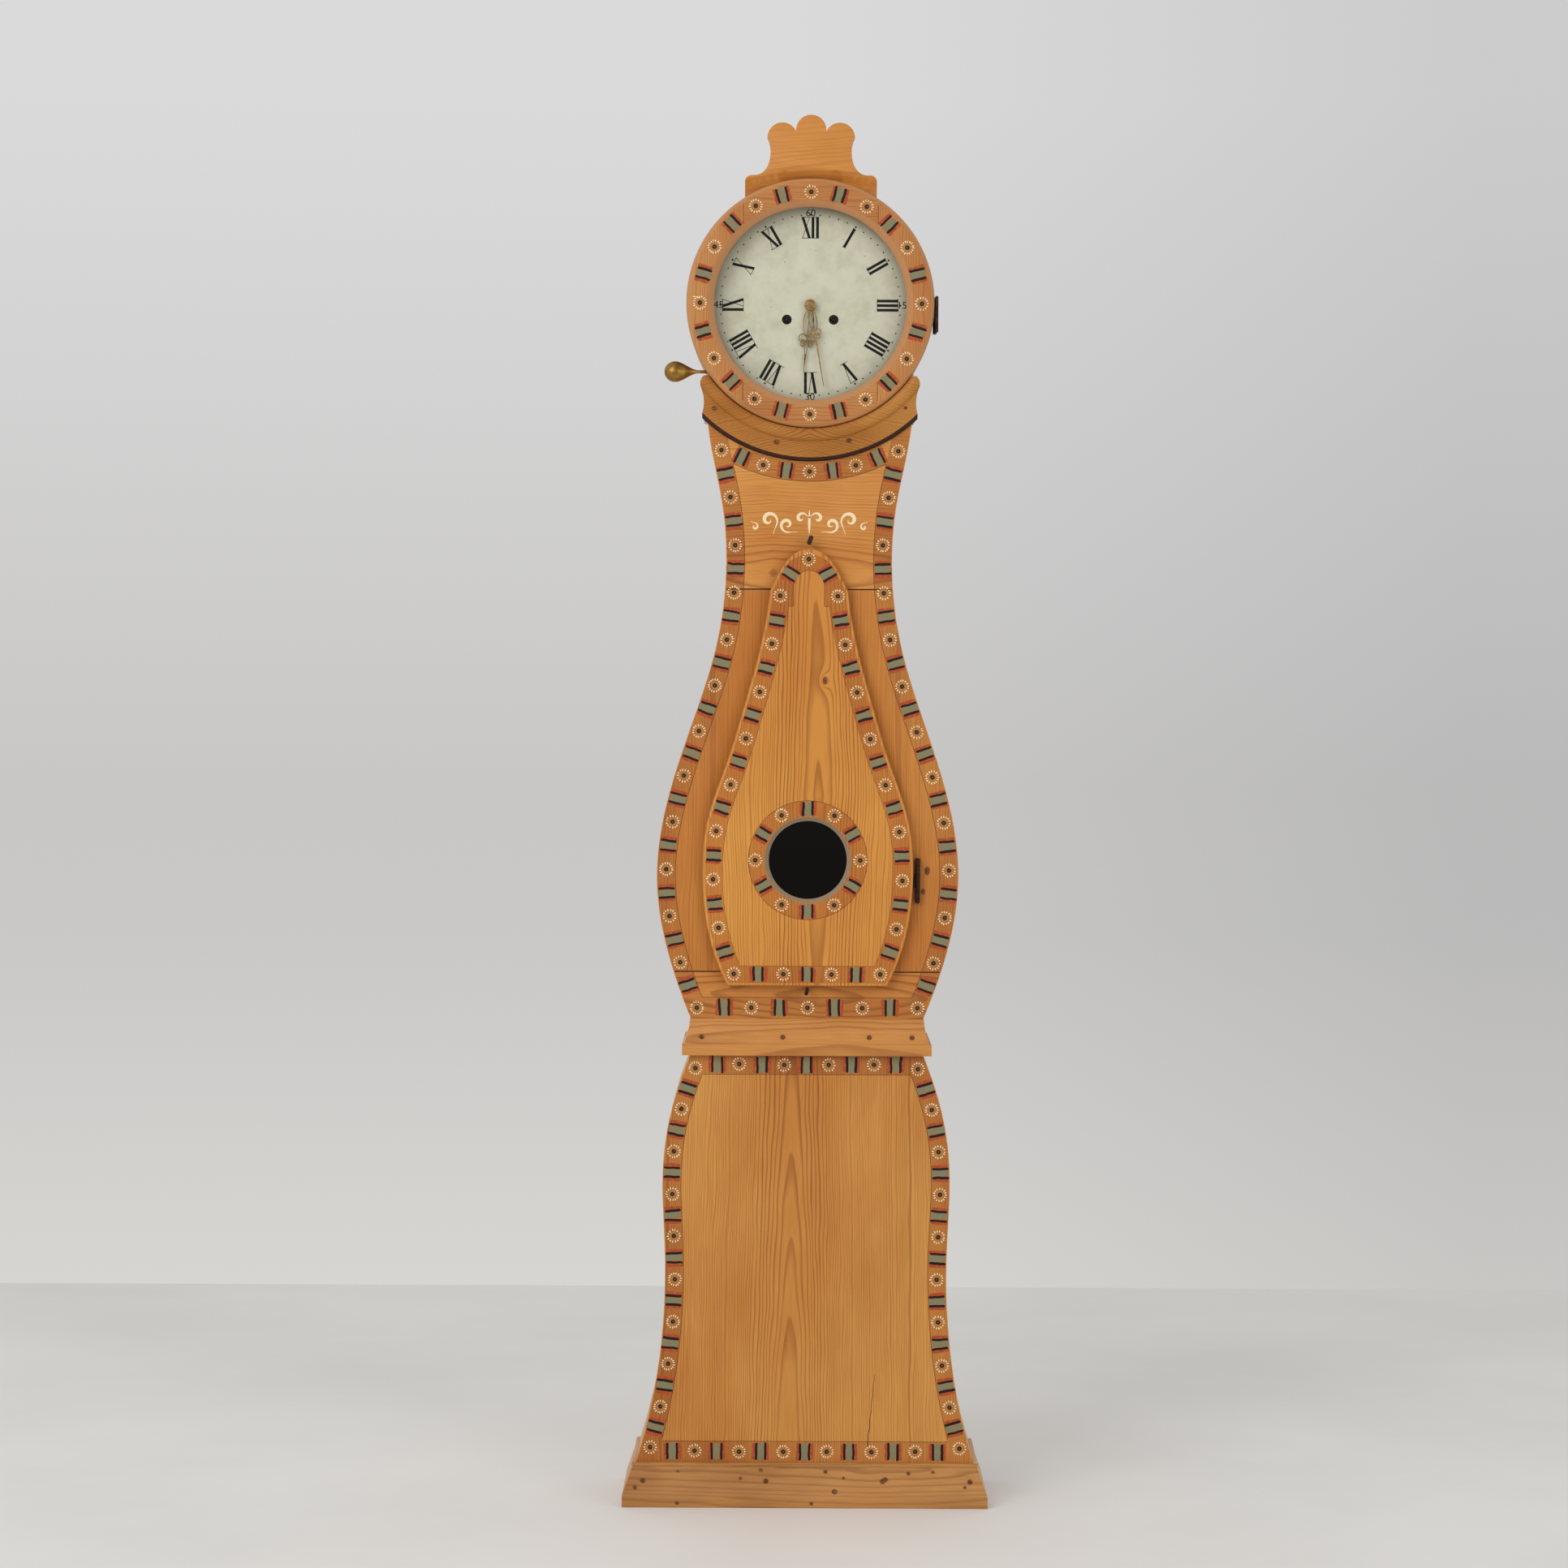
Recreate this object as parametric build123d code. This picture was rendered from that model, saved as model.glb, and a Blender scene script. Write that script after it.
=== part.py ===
from build123d import *
import math
import os

# A painted pine longcase clock: a shaped case on a plinth, a round hood with a glazed door, a
# shaped trunk door with a round window, and a weight-driven movement with a pendulum.
# Millimetres. X runs to the right, Y to the back, Z up. The origin is on the floor, under the
# middle of the clock. Outlines are drawn as (across, up) and cut through the depth.

# --- Driving sizes -----------------------------------------------------------------------------

# Depths
case_depth = 200.0            # front face of the case boards to the back of the back boards
front_board = 20.0
side_board = 13.0             # measured across
back_board = 12.0

# Trunk door, catches and what stands proud of the case
door_gap = 1.0                # door lip to case front
door_thickness = 18.0
catch_gap = 1.0
catch_thickness = 3.5
proud = door_gap + door_thickness + catch_gap + catch_thickness
front_y = -(case_depth + proud) / 2 + proud
back_y = front_y + case_depth
inner_front_y = front_y + front_board
inner_back_y = back_y - back_board

# Plinth
plinth_height = 66.5
plinth_foot = 16.5            # square edge at the floor
plinth_lip = 5.5              # square edge at the top
plinth_reach = 21.0           # how far the foot stands out
plinth_lip_reach = 6.0

# Lower case
base_half = 261.0             # half widths
tuck_half = 217.0
hip_half = 221.5
waist_half = 179.0
tuck_z = 370.0
hip_z = 502.0
lower_top_z = 698.0
seam_z = 726.0                # lower case meets trunk, behind the waist moulding
floor_board_z = 24.0
floor_board_thickness = 16.0

# Waist moulding
waist_moulding_height = 56.0
waist_band = 17.0
waist_reach = 13.0
waist_ledge = 3.0             # step between the band and the hollow
waist_top_reach = 1.0

# Trunk
trunk_foot_z = lower_top_z + waist_moulding_height
belly_half = 232.0
neck_half = 127.5
shoulder_half = 159.5
belly_rise = 215.0            # heights above the trunk's foot
neck_rise = 689.0
shoulder_rise = 987.0
bottom_rail_rise = 72.5
top_rail_rise = 661.0
belly_z = trunk_foot_z + belly_rise
neck_z = trunk_foot_z + neck_rise
shoulder_z = trunk_foot_z + shoulder_rise
bottom_rail_z = trunk_foot_z + bottom_rail_rise
top_rail_z = trunk_foot_z + top_rail_rise

# Trunk door outline, heights above the trunk's foot
door_foot_half = 122.5
door_belly_half = 162.0
door_spring_half = 60.0
door_foot_rise = 52.0
door_belly_rise = 221.0
door_spring_rise = 658.0
door_top_rise = 723.0
door_taper = [(0.93, 0.19), (0.62, 0.41), (0.40, 0.58), (0.17, 0.775)]  # (width, height) shares
door_lip = 14.0               # how far the door covers the frame around its opening
door_edge_radius = 2.5
window_rise = 245.5
window_radius = 60.0
window_chamfer = 6.0
window_rebate = 65.5
glass_thickness = 3.0
bead_thickness = 4.0

# Hood
dial_rise = 111.0             # dial centre above the trunk's shoulder
dial_z = shoulder_z + dial_rise
ring_radius = 190.0
ring_thickness = 24.0
ring_proud = 18.0             # ring front in front of the case front
ring_round = 8.0
ring_sight = 147.5
ring_chamfer_outer = 157.0
ring_chamfer_depth = 9.0
ring_rebate = 153.0
ring_joint_x = 103.0          # upright joints between the four segments
seat_gap = 1.0                # ring to collar
hood_radius = 189.0
hood_wall = 10.0
hood_frame_sight = 150.0
hood_frame_thickness = 12.0
hood_door_gap = 1.5
dial_setback = 42.0           # dial behind the ring's front
dial_thickness = 1.5
dial_radius = 158.0
dial_centre_hole = 8.7
winding_hole = 7.6
ring_front_y = front_y - ring_proud
ring_back_y = ring_front_y + ring_thickness
frame_front_y = ring_back_y + hood_door_gap
frame_back_y = frame_front_y + hood_frame_thickness
dial_y = ring_front_y + dial_setback
seat_thickness = 15.0
seat_top_z = shoulder_z + seat_thickness

# Neck collar
collar_radius = 241.0
collar_bead = 6.0
collar_nose = 20.0            # nose of the collar in front of the case
collar_side = 8.5             # nose of the returns outside the shoulder
collar_return_height = 62.0

# Crest
crest_thickness = 24.0
crest_gap = 3.5               # crest's front half above the ring
crest_half = 101.0
crest_shoulder_rise = 196.0   # heights above the dial centre
crest_neck_rise = 221.0
crest_lobe_rise = 254.0
crest_top_rise = 288.0
crest_neck_half = 63.0
crest_lobe_radius = 22.0
crest_bevel = 13.0

# Fits and fasteners
running_fit = 0.05
peg_radius = 3.5
peg_proud = 0.4

# Hood hinge, on the right of the ring
hood_hinge_x = ring_radius + 3.2
hood_hinge_y = ring_front_y + 7.0
hood_hinge_drop = 43.0        # its lower end below the dial centre
hood_hinge_length = 54.0
hood_knuckle = 2.6
leaf_thickness = 2.0

# Trunk door hinge
trunk_hinge_x = door_belly_half + 7.0
trunk_hinge_y = front_y - 8.0
trunk_hinge_rise = 180.0
trunk_hinge_length = 68.0
trunk_knuckle = 3.5
tang_thickness = 2.0

# Knob on the hood door
knob_drop = 109.0             # below the dial centre
knob_stem_rise = 4.0          # stem above the middle of the bulb
knob_reach = 33.0             # its tip beyond the ring's edge
knob_tip_x = -(ring_radius + knob_reach)
knob_length = 50.0
knob_radius = 15.9
knob_stem = 2.4

# Movement
plate_half = 60.0
plate_thickness = 3.0
plate_top_rise = 83.0         # above the dial centre
front_plate_y = dial_y + 14.0
plate_gap = 55.0
back_plate_y = front_plate_y + plate_thickness + plate_gap
winding_x = 36.0
winding_drop = 22.0
barrel_radius = 16.0
wheel_clearance = 3.195       # centre wheel to barrel
arbor = 2.0
pendulum_y = back_plate_y + 30.0
pivot_rise = 70.0             # anchor arbor and pendulum pivot above the dial centre
pendulum_length = 994.0
bob_radius = 55.0
bob_thickness = 24.0
bell_radius = 38.0
strike_gap = 8.0              # hammer head to bell, at rest
line_radius = 1.0
line_y = front_plate_y + 30.0
line_x = winding_x + barrel_radius + line_radius + 0.3   # lines hang just clear of the barrels
weight_radius = 26.0
weight_length = 200.0
weight_top_z = 700.0
minute_length = 127.0
hour_length = 103.0
minute_angle = 170.4          # clockwise from twelve
hour_angle = 185.5
half_tooth_share = 0.19       # half a tooth as a share of the pitch

parts = {}


# --- Shared shapes -----------------------------------------------------------------------------

def slab(outline, near_y, far_y):
    """A piece cut to an outline (across, up), from near_y at the front to far_y at the back."""
    return extrude(Plane.XZ.offset(-far_y) * outline, amount=far_y - near_y)


def disc(x, z, radius, near_y, far_y):
    return slab(Pos(x, z) * Circle(radius), near_y, far_y)


def block(x_range, y_range, z_range):
    size = [high - low for low, high in (x_range, y_range, z_range)]
    middle = [(high + low) / 2 for low, high in (x_range, y_range, z_range)]
    return Pos(*middle) * Box(*size)


def mirrored(edge):
    """The closed outline whose right-hand edge is the given curve, from bottom to top."""
    other = edge.mirror(Plane.YZ)
    return make_face([edge, Line(edge @ 1, other @ 1), other, Line(other @ 0, edge @ 0)])


def right_edge(points, inset=0.0):
    return Spline(*[(half - inset, height) for half, height in points])


def about_dial(profile):
    """Turns a profile (radius, y) about the dial's axis."""
    axis = Axis((0, 0, dial_z), (0, 1, 0))
    return revolve(Plane.XY.offset(dial_z) * profile, axis=axis, revolution_arc=360)


def between(low, high, share):
    return low + (high - low) * share


def swell(low, high, share):
    """An S curve from low to high, a half cosine wave."""
    return between(low, high, (1 - math.cos(math.pi * share)) / 2)


# --- Outlines ----------------------------------------------------------------------------------

lower_edge = [(between(tuck_half, base_half, share ** 2.2), between(tuck_z, plinth_height, share))
              for share in (1.0, 0.8, 0.55, 0.25)]
lower_edge += [(tuck_half, tuck_z), (between(tuck_half, hip_half, 0.55), between(tuck_z, hip_z, 0.5))]
lower_edge += [(hip_half, hip_z)]
lower_edge += [(between(waist_half, hip_half, 1 - (1 - share) ** 2), between(lower_top_z, hip_z, share))
               for share in (0.75, 0.5, 0.25, 0.0)]

trunk_edge = [
    (waist_half, trunk_foot_z),
    (between(waist_half, belly_half, 0.61), between(trunk_foot_z, belly_z, 0.42)),
    (belly_half, belly_z),
]
trunk_edge += [(swell(belly_half, neck_half, share), between(belly_z, neck_z, share))
               for share in (0.25, 0.5, 0.75)]
trunk_edge += [
    (neck_half, neck_z),
    (between(neck_half, shoulder_half, 0.19), between(neck_z, shoulder_z, 0.335)),
    (between(neck_half, shoulder_half, 0.8), between(neck_z, shoulder_z, 0.67)),
    (between(neck_half, shoulder_half, 0.99), between(neck_z, shoulder_z, 0.86)),
    (shoulder_half, shoulder_z),
]

door_foot_z = trunk_foot_z + door_foot_rise
door_belly_z = trunk_foot_z + door_belly_rise
door_spring_z = trunk_foot_z + door_spring_rise
door_top_z = trunk_foot_z + door_top_rise
window_z = trunk_foot_z + window_rise


def lower_outline(inset=0.0):
    """Lower case, plinth to seam: straight behind the plinth and behind the waist moulding."""
    foot = mirrored(Line((base_half - inset, 0), (base_half - inset, plinth_height)))
    top = mirrored(Line((waist_half - inset, lower_top_z), (waist_half - inset, seam_z)))
    return foot + mirrored(right_edge(lower_edge, inset)) + top


def trunk_outline(inset=0.0):
    foot = mirrored(Line((waist_half - inset, seam_z), (waist_half - inset, trunk_foot_z)))
    return foot + mirrored(right_edge(trunk_edge, inset))


def door_outline(inset=0.0):
    """The trunk door: a bulb that narrows upwards to a blunt pointed arch."""
    foot_z = door_foot_z + inset
    spring = (door_spring_half - inset, door_spring_z)
    side = Spline(
        (door_foot_half - inset, foot_z),
        (between(door_foot_half, door_belly_half, 0.56) - inset, between(door_foot_z, door_belly_z, 0.31)),
        (door_belly_half - inset, door_belly_z),
        *[(between(door_spring_half, door_belly_half, wider) - inset,
           between(door_belly_z, door_spring_z, higher)) for wider, higher in door_taper],
        spring,
    )
    arch = Spline(
        spring,
        (0.76 * door_spring_half - 0.9 * inset, between(door_spring_z, door_top_z - inset, 0.45)),
        (0.43 * door_spring_half - 0.5 * inset, between(door_spring_z, door_top_z - inset, 0.85)),
        (0, door_top_z - inset),
    )
    edges = [side, arch]
    edges += [edge.mirror(Plane.YZ) for edge in edges]
    return make_face([*edges, Line((-door_foot_half + inset, foot_z), (door_foot_half - inset, foot_z))])


# --- Case --------------------------------------------------------------------------------------

def grouped(*pieces):
    """Like pieces that share a node, still separate solids."""
    return Part() + [solid for piece in pieces for solid in piece.solids()]


def left_and_right(shape):
    solids = sorted(shape.solids(), key=lambda solid: solid.center().X)
    return solids[0], solids[-1]


def make_lower_case():
    parts["lower_front_board"] = slab(lower_outline(), front_y, inner_front_y)
    walls = slab(lower_outline() - lower_outline(side_board), inner_front_y, inner_back_y)
    parts["lower_sides"] = walls


def edge_moulding(outline, front_profile, inner_half, low_z, high_z):
    """A front bar whose ends show its own profile, and the two returns behind it."""
    bar = extrude(Plane.YZ.offset(-2 * inner_half) * front_profile, amount=4 * inner_half)
    bar = bar & slab(outline, front_y - 4 * plinth_reach, front_y)
    core = block((-inner_half, inner_half), (front_y, back_y), (low_z - 1, high_z + 1))
    return bar, slab(outline, front_y, back_y) - core


def stepped_profile(reach_at, sign, start):
    """A closed moulding section from (height, reach) pairs, standing out from start along sign."""
    corners = [(start + sign * reach, height) for height, reach in reach_at]
    low, high = reach_at[0][0], reach_at[-1][0]
    return make_face(Polyline((start, low), *corners, (start, high), close=True))


def mirrored_line(edge):
    """The same as mirrored, for an edge of several straight or curved runs."""
    other = edge.mirror(Plane.YZ)
    return make_face([*edge.edges(), *other.edges(), Line(edge @ 1, other @ 1), Line(other @ 0, edge @ 0)])


def make_plinth():
    levels = [(0, plinth_reach), (plinth_foot, plinth_reach),
              (plinth_height - plinth_lip, plinth_lip_reach - 1.0),
              (plinth_height - plinth_lip, plinth_lip_reach), (plinth_height, plinth_lip_reach)]
    edge = Polyline(*[(base_half + reach, height) for height, reach in levels])
    names = ("plinth_front", "plinth_returns")
    profile = stepped_profile(levels, -1, front_y)
    parts.update(zip(names, edge_moulding(mirrored_line(edge), profile, base_half, 0, plinth_height)))


def make_waist_moulding():
    """A square band with a hollow above it that dies into the trunk."""
    low, high = lower_top_z, trunk_foot_z
    band_top = low + waist_band
    hollow_half = waist_half + waist_reach - waist_ledge
    top_half = waist_half + waist_top_reach
    middle = (between(top_half, hollow_half, 0.32), between(high, band_top, 0.5))
    band_half = waist_half + waist_reach
    band = Polyline((band_half, low), (band_half, band_top), (hollow_half, band_top))
    hollow = ThreePointArc((hollow_half, band_top), middle, (top_half, high))
    outline = mirrored_line(Curve() + band + hollow)
    to_front = Location((front_y - (-waist_half), 0, 0))
    profile = to_front * (outline & Pos(-waist_half - 50, (low + high) / 2) * Rectangle(100, high - low))
    names = ("waist_moulding_front", "waist_moulding_returns")
    parts.update(zip(names, edge_moulding(outline, profile, waist_half, low, high)))


def make_trunk():
    seat = disc(0, dial_z, ring_radius + seat_gap, front_y - 1, inner_front_y + 1)
    opening = slab(door_outline(door_lip), front_y - 1, inner_front_y + 1)
    front = slab(trunk_outline(), front_y, inner_front_y) - seat - opening
    wide = 2 * belly_half
    levels = (seam_z, bottom_rail_z, top_rail_z, shoulder_z)
    bands = [front & block((-wide, wide), (front_y, inner_front_y), (low, high))
             for low, high in zip(levels, levels[1:])]
    parts["trunk_bottom_rail"] = bands[0]
    parts["trunk_stile_left"], parts["trunk_stile_right"] = left_and_right(bands[1])
    parts["trunk_top_rail"] = bands[2]
    walls = slab(trunk_outline() - trunk_outline(side_board), inner_front_y, inner_back_y)
    parts["trunk_sides"] = walls


def make_back_boards():
    """Two boards that meet behind the waist; the upper one also closes the hood."""
    upper = slab(trunk_outline(), inner_back_y, back_y) + disc(0, dial_z, hood_radius, inner_back_y, back_y)
    upper += block((-shoulder_half, shoulder_half), (inner_back_y, back_y), (shoulder_z, seat_top_z))
    parts["back_boards"] = grouped(slab(lower_outline(), inner_back_y, back_y), upper)


def make_collar():
    """The cove moulding round the foot of the hood: nose at the top, hollow, dark bead below."""
    inner = ring_radius + seat_gap
    bead_inner = collar_radius - collar_bead
    nose_y = front_y - collar_nose
    foot_y = front_y - 7.0
    profile = make_face([
        Line((inner, front_y), (inner, nose_y + 6)),
        ThreePointArc((inner, nose_y + 6), (inner + 5, nose_y + 1), (inner + 12, nose_y)),
        ThreePointArc((inner + 12, nose_y), (inner + 17, nose_y + 1.5), (inner + 20, nose_y + 6)),
        ThreePointArc((inner + 20, nose_y + 6), (inner + 28, foot_y - 4), (bead_inner, foot_y)),
        Polyline((bead_inner, foot_y), (bead_inner, front_y), (inner, front_y)),
    ])
    bead = make_face([
        Line((bead_inner, front_y), (bead_inner, foot_y)),
        ThreePointArc((bead_inner, foot_y), (bead_inner + 4, foot_y + 1.5), (collar_radius, front_y)),
        Line((collar_radius, front_y), (bead_inner, front_y)),
    ])
    low = shoulder_z - collar_return_height
    half = shoulder_half + collar_side
    foot_half = shoulder_half + 5.5
    side = Curve() + Line((foot_half, low), (foot_half, low + 5))
    side += ThreePointArc((foot_half, low + 5), (shoulder_half + 3, low + 21), (half - 2, shoulder_z - 20))
    side += ThreePointArc((half - 2, shoulder_z - 20), (half, shoulder_z - 11), (half - 6, shoulder_z))
    outline = mirrored_line(side)
    below = mirrored(Line((foot_half, low - collar_radius), (foot_half, low)))
    within = slab(outline + below, front_y - 3 * collar_nose, front_y)
    parts["collar_front"] = about_dial(profile) & within
    parts["collar_bead"] = about_dial(bead) & within
    core = slab(trunk_outline(), front_y - 1, back_y + 1)
    seat = disc(0, dial_z, inner, front_y - 1, back_y + 1)
    parts["collar_returns"] = slab(outline, front_y, back_y) - core - seat


def make_inner_boards():
    """The floor of the case, and the shelf that carries the movement, with holes for the lines."""
    inner_half = base_half - side_board
    floor_top = floor_board_z + floor_board_thickness
    floor = block((-inner_half, inner_half), (inner_front_y, inner_back_y), (floor_board_z, floor_top))
    board_front_y = dial_y + dial_thickness + 2
    board = block((-shoulder_half, shoulder_half), (board_front_y, inner_back_y), (shoulder_z, seat_top_z))
    for x in (-line_x, line_x):
        board -= Pos(x, line_y, shoulder_z) * Cylinder(8, 4 * seat_thickness)
    slot = block((-30, 30), (pendulum_y - 18, pendulum_y + 18), (shoulder_z - 1, seat_top_z + 1))
    parts["inner_boards"] = grouped(floor, board - slot)


# --- Hood --------------------------------------------------------------------------------------

def make_hood():
    frame = slab(Circle(hood_radius) - Circle(hood_frame_sight), frame_front_y, frame_back_y)
    parts["hood_front_frame"] = Pos(0, 0, dial_z) * frame
    shell = Pos(0, 0, dial_z) * slab(
        Circle(hood_radius) - Circle(hood_radius - hood_wall), frame_back_y, inner_back_y)
    wide = 2 * hood_radius
    above = block((-wide, wide), (frame_back_y, inner_back_y), (seat_top_z, dial_z + wide))
    parts["hood_shell"] = shell & above


def crest_outline(foot_radius):
    """A shoulder, a waist and three lobes over an arc that follows the hood."""
    lobe_x = crest_neck_half + 4 - crest_lobe_radius
    notch = (lobe_x - crest_lobe_radius, dial_z + crest_lobe_rise + 8.5)
    lobe_z = dial_z + crest_lobe_rise
    foot_z = dial_z + math.sqrt(foot_radius ** 2 - crest_half ** 2)
    shoulder_top = dial_z + crest_shoulder_rise
    neck = (crest_neck_half, dial_z + crest_neck_rise)
    side = Curve() + Line((crest_half, foot_z), (crest_half, shoulder_top - 10))
    side += ThreePointArc((crest_half, shoulder_top - 10), (crest_half - 3, shoulder_top - 3),
                          (crest_half - 10, shoulder_top))
    side += Spline((crest_half - 10, shoulder_top), (crest_neck_half + 10, shoulder_top + 5), neck,
                   (lobe_x + crest_lobe_radius, lobe_z))
    side += ThreePointArc((lobe_x + crest_lobe_radius, lobe_z), (lobe_x, lobe_z + crest_lobe_radius), notch)
    other = side.mirror(Plane.YZ)
    top = ThreePointArc(notch, (0, dial_z + crest_top_rise), (-notch[0], notch[1]))
    foot = ThreePointArc((crest_half, foot_z), (0, dial_z + foot_radius), (-crest_half, foot_z))
    return make_face([*side.edges(), *other.edges(), top, foot])


def make_crest():
    """The front half clears the door ring and is bevelled back, the rear half sits on the shell."""
    near_y = frame_front_y - crest_thickness / 2
    front = slab(crest_outline(ring_radius + crest_gap), near_y, frame_front_y)
    rear = slab(crest_outline(hood_radius), frame_front_y, frame_front_y + crest_thickness / 2)
    foot = ring_radius + crest_gap
    bevel_top = dial_z + foot + crest_bevel
    bevel_radius = 340.0
    tilt = math.degrees(math.atan2(crest_thickness / 2 - 2, crest_bevel))
    cone_depth = 3 * crest_bevel * math.tan(math.radians(tilt))
    cone = Cone(bevel_radius, bevel_radius - 3 * crest_bevel, cone_depth)
    cutter = Pos(0, near_y + cone_depth / 2, bevel_top - bevel_radius) * Rot(-90, 0, 0) * cone
    parts["crest"] = (front - cutter) + rear


def make_hood_door():
    glass_front_y = ring_back_y - glass_thickness - bead_thickness - 1
    chamfer_y = ring_front_y + ring_chamfer_depth
    corner = (ring_radius - ring_round, ring_front_y)
    middle = (ring_radius - 0.3 * ring_round, ring_front_y + 0.3 * ring_round)
    profile = make_face([
        Line((ring_chamfer_outer, ring_front_y), corner),
        ThreePointArc(corner, middle, (ring_radius, ring_front_y + ring_round)),
        Polyline((ring_radius, ring_front_y + ring_round), (ring_radius, ring_back_y),
                 (ring_rebate, ring_back_y), (ring_rebate, glass_front_y), (ring_sight, glass_front_y),
                 (ring_sight, chamfer_y)),
        Line((ring_sight, chamfer_y), (ring_chamfer_outer, ring_front_y)),
    ])
    stem_z = dial_z - knob_drop + knob_stem_rise
    stem_y = ring_front_y + ring_thickness / 2
    stem_inner_x = -math.sqrt(ring_radius ** 2 - (knob_drop - knob_stem_rise) ** 2) + 14
    stem_hole = Pos(0, stem_y, stem_z) * Rot(0, 90, 0) * Cylinder(
        knob_stem + running_fit, 2 * -stem_inner_x, align=(Align.CENTER, Align.CENTER, Align.MAX))
    stem_hole = Pos(stem_inner_x, 0, 0) * stem_hole
    ring = about_dial(profile)
    far = 2 * ring_radius
    depth = (ring_front_y - 1, ring_back_y + 1)
    left = ring & block((-far, -ring_joint_x), depth, (dial_z - far, dial_z + far))
    right = ring & block((ring_joint_x, far), depth, (dial_z - far, dial_z + far))
    top = ring & block((-ring_joint_x, ring_joint_x), depth, (dial_z, dial_z + far))
    bottom = ring & block((-ring_joint_x, ring_joint_x), depth, (dial_z - far, dial_z))
    parts["hood_ring_left"] = left - stem_hole
    parts["hood_ring_right"] = right
    parts["hood_ring_top"] = top
    parts["hood_ring_bottom"] = bottom
    glass_back_y = glass_front_y + glass_thickness
    parts["hood_glass"] = disc(0, dial_z, ring_rebate - 0.5, glass_front_y, glass_back_y)
    bead = Circle(ring_rebate) - Circle(ring_sight + 1)
    parts["hood_glass_bead"] = Pos(0, 0, dial_z) * slab(bead, glass_back_y, glass_back_y + bead_thickness)
    taper = [(0.06, 0.60), (0.16, 0.87), (0.34, 1.0), (0.54, 0.82), (0.74, 0.48), (0.89, 0.25)]
    bulb = Spline((0, 0.1), *[(along * knob_length, wide * knob_radius) for along, wide in taper],
                  (knob_length, knob_stem))
    stem_end = stem_inner_x - knob_tip_x
    section = make_face([
        bulb,
        Polyline((knob_length, knob_stem), (stem_end, knob_stem), (stem_end, 0), (0, 0), (0, 0.1)),
    ])
    knob = revolve(section, axis=Axis.X, revolution_arc=360)
    parts["hood_knob"] = Pos(knob_tip_x, stem_y, stem_z) * knob


def knuckle(x, y, low_z, high_z, radius, bore):
    tube = Cylinder(radius, high_z - low_z) - Cylinder(bore, high_z - low_z)
    return Pos(x, y, (low_z + high_z) / 2) * tube


def make_hood_hinge():
    """Three knuckles on a pin: the outer two on the case leaf, the middle one on the door leaf."""
    low = dial_z - hood_hinge_drop
    third = hood_hinge_length / 3
    pin = 1.2
    x, y = hood_hinge_x, hood_hinge_y
    door = knuckle(x, y, low + third + 0.3, low + 2 * third - 0.3, hood_knuckle, pin + running_fit)
    rim_leaf = block((ring_radius, ring_radius + leaf_thickness), (y, ring_back_y - 2),
                     (low + third + 0.3, low + 2 * third - 0.3))
    pin_room = Pos(x, y, low + hood_hinge_length / 2) * Cylinder(pin + running_fit, 2 * hood_hinge_length)
    parts["hood_hinge_door_leaf"] = door + (rim_leaf - pin_room)
    case = knuckle(x, y, low, low + third, hood_knuckle, pin)
    case += knuckle(x, y, low + 2 * third, low + hood_hinge_length, hood_knuckle, pin)
    leaf_x = (x - 1, x - 1 + leaf_thickness)
    for foot in (low, low + 2 * third):
        case += block(leaf_x, (y + 2, frame_front_y + 4), (foot, foot + third))
    case += block((hood_radius, leaf_x[1]), (frame_front_y + 2, frame_front_y + 30),
                  (low, low + hood_hinge_length))
    parts["hinge_case_leaves"] = case
    parts["hinge_pins"] = Pos(x, y, low + hood_hinge_length / 2) * Cylinder(pin, hood_hinge_length + 2)


# --- Trunk door --------------------------------------------------------------------------------

def make_trunk_door():
    near_y = front_y - door_gap - door_thickness
    far_y = front_y - door_gap
    blank = slab(door_outline(), near_y, far_y)
    blank = fillet(blank.faces().sort_by(Axis.Y)[0].outer_wire().edges(), door_edge_radius)
    glass_front_y = far_y - glass_thickness - bead_thickness
    sight = disc(0, window_z, window_radius, near_y - 1, far_y + 1)
    rebate = disc(0, window_z, window_rebate, glass_front_y, far_y + 1)
    flare = Pos(0, near_y + window_chamfer / 2, window_z) * Rot(-90, 0, 0) * Cone(
        window_radius + window_chamfer, window_radius, window_chamfer)
    parts["trunk_door"] = blank - sight - rebate - flare
    glass_back_y = glass_front_y + glass_thickness
    parts["window_glass"] = disc(0, window_z, window_rebate - 0.3, glass_front_y, glass_back_y)
    bead = Circle(window_rebate) - Circle(window_radius)
    parts["window_bead"] = Pos(0, 0, window_z) * slab(bead, glass_back_y, far_y)


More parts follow.
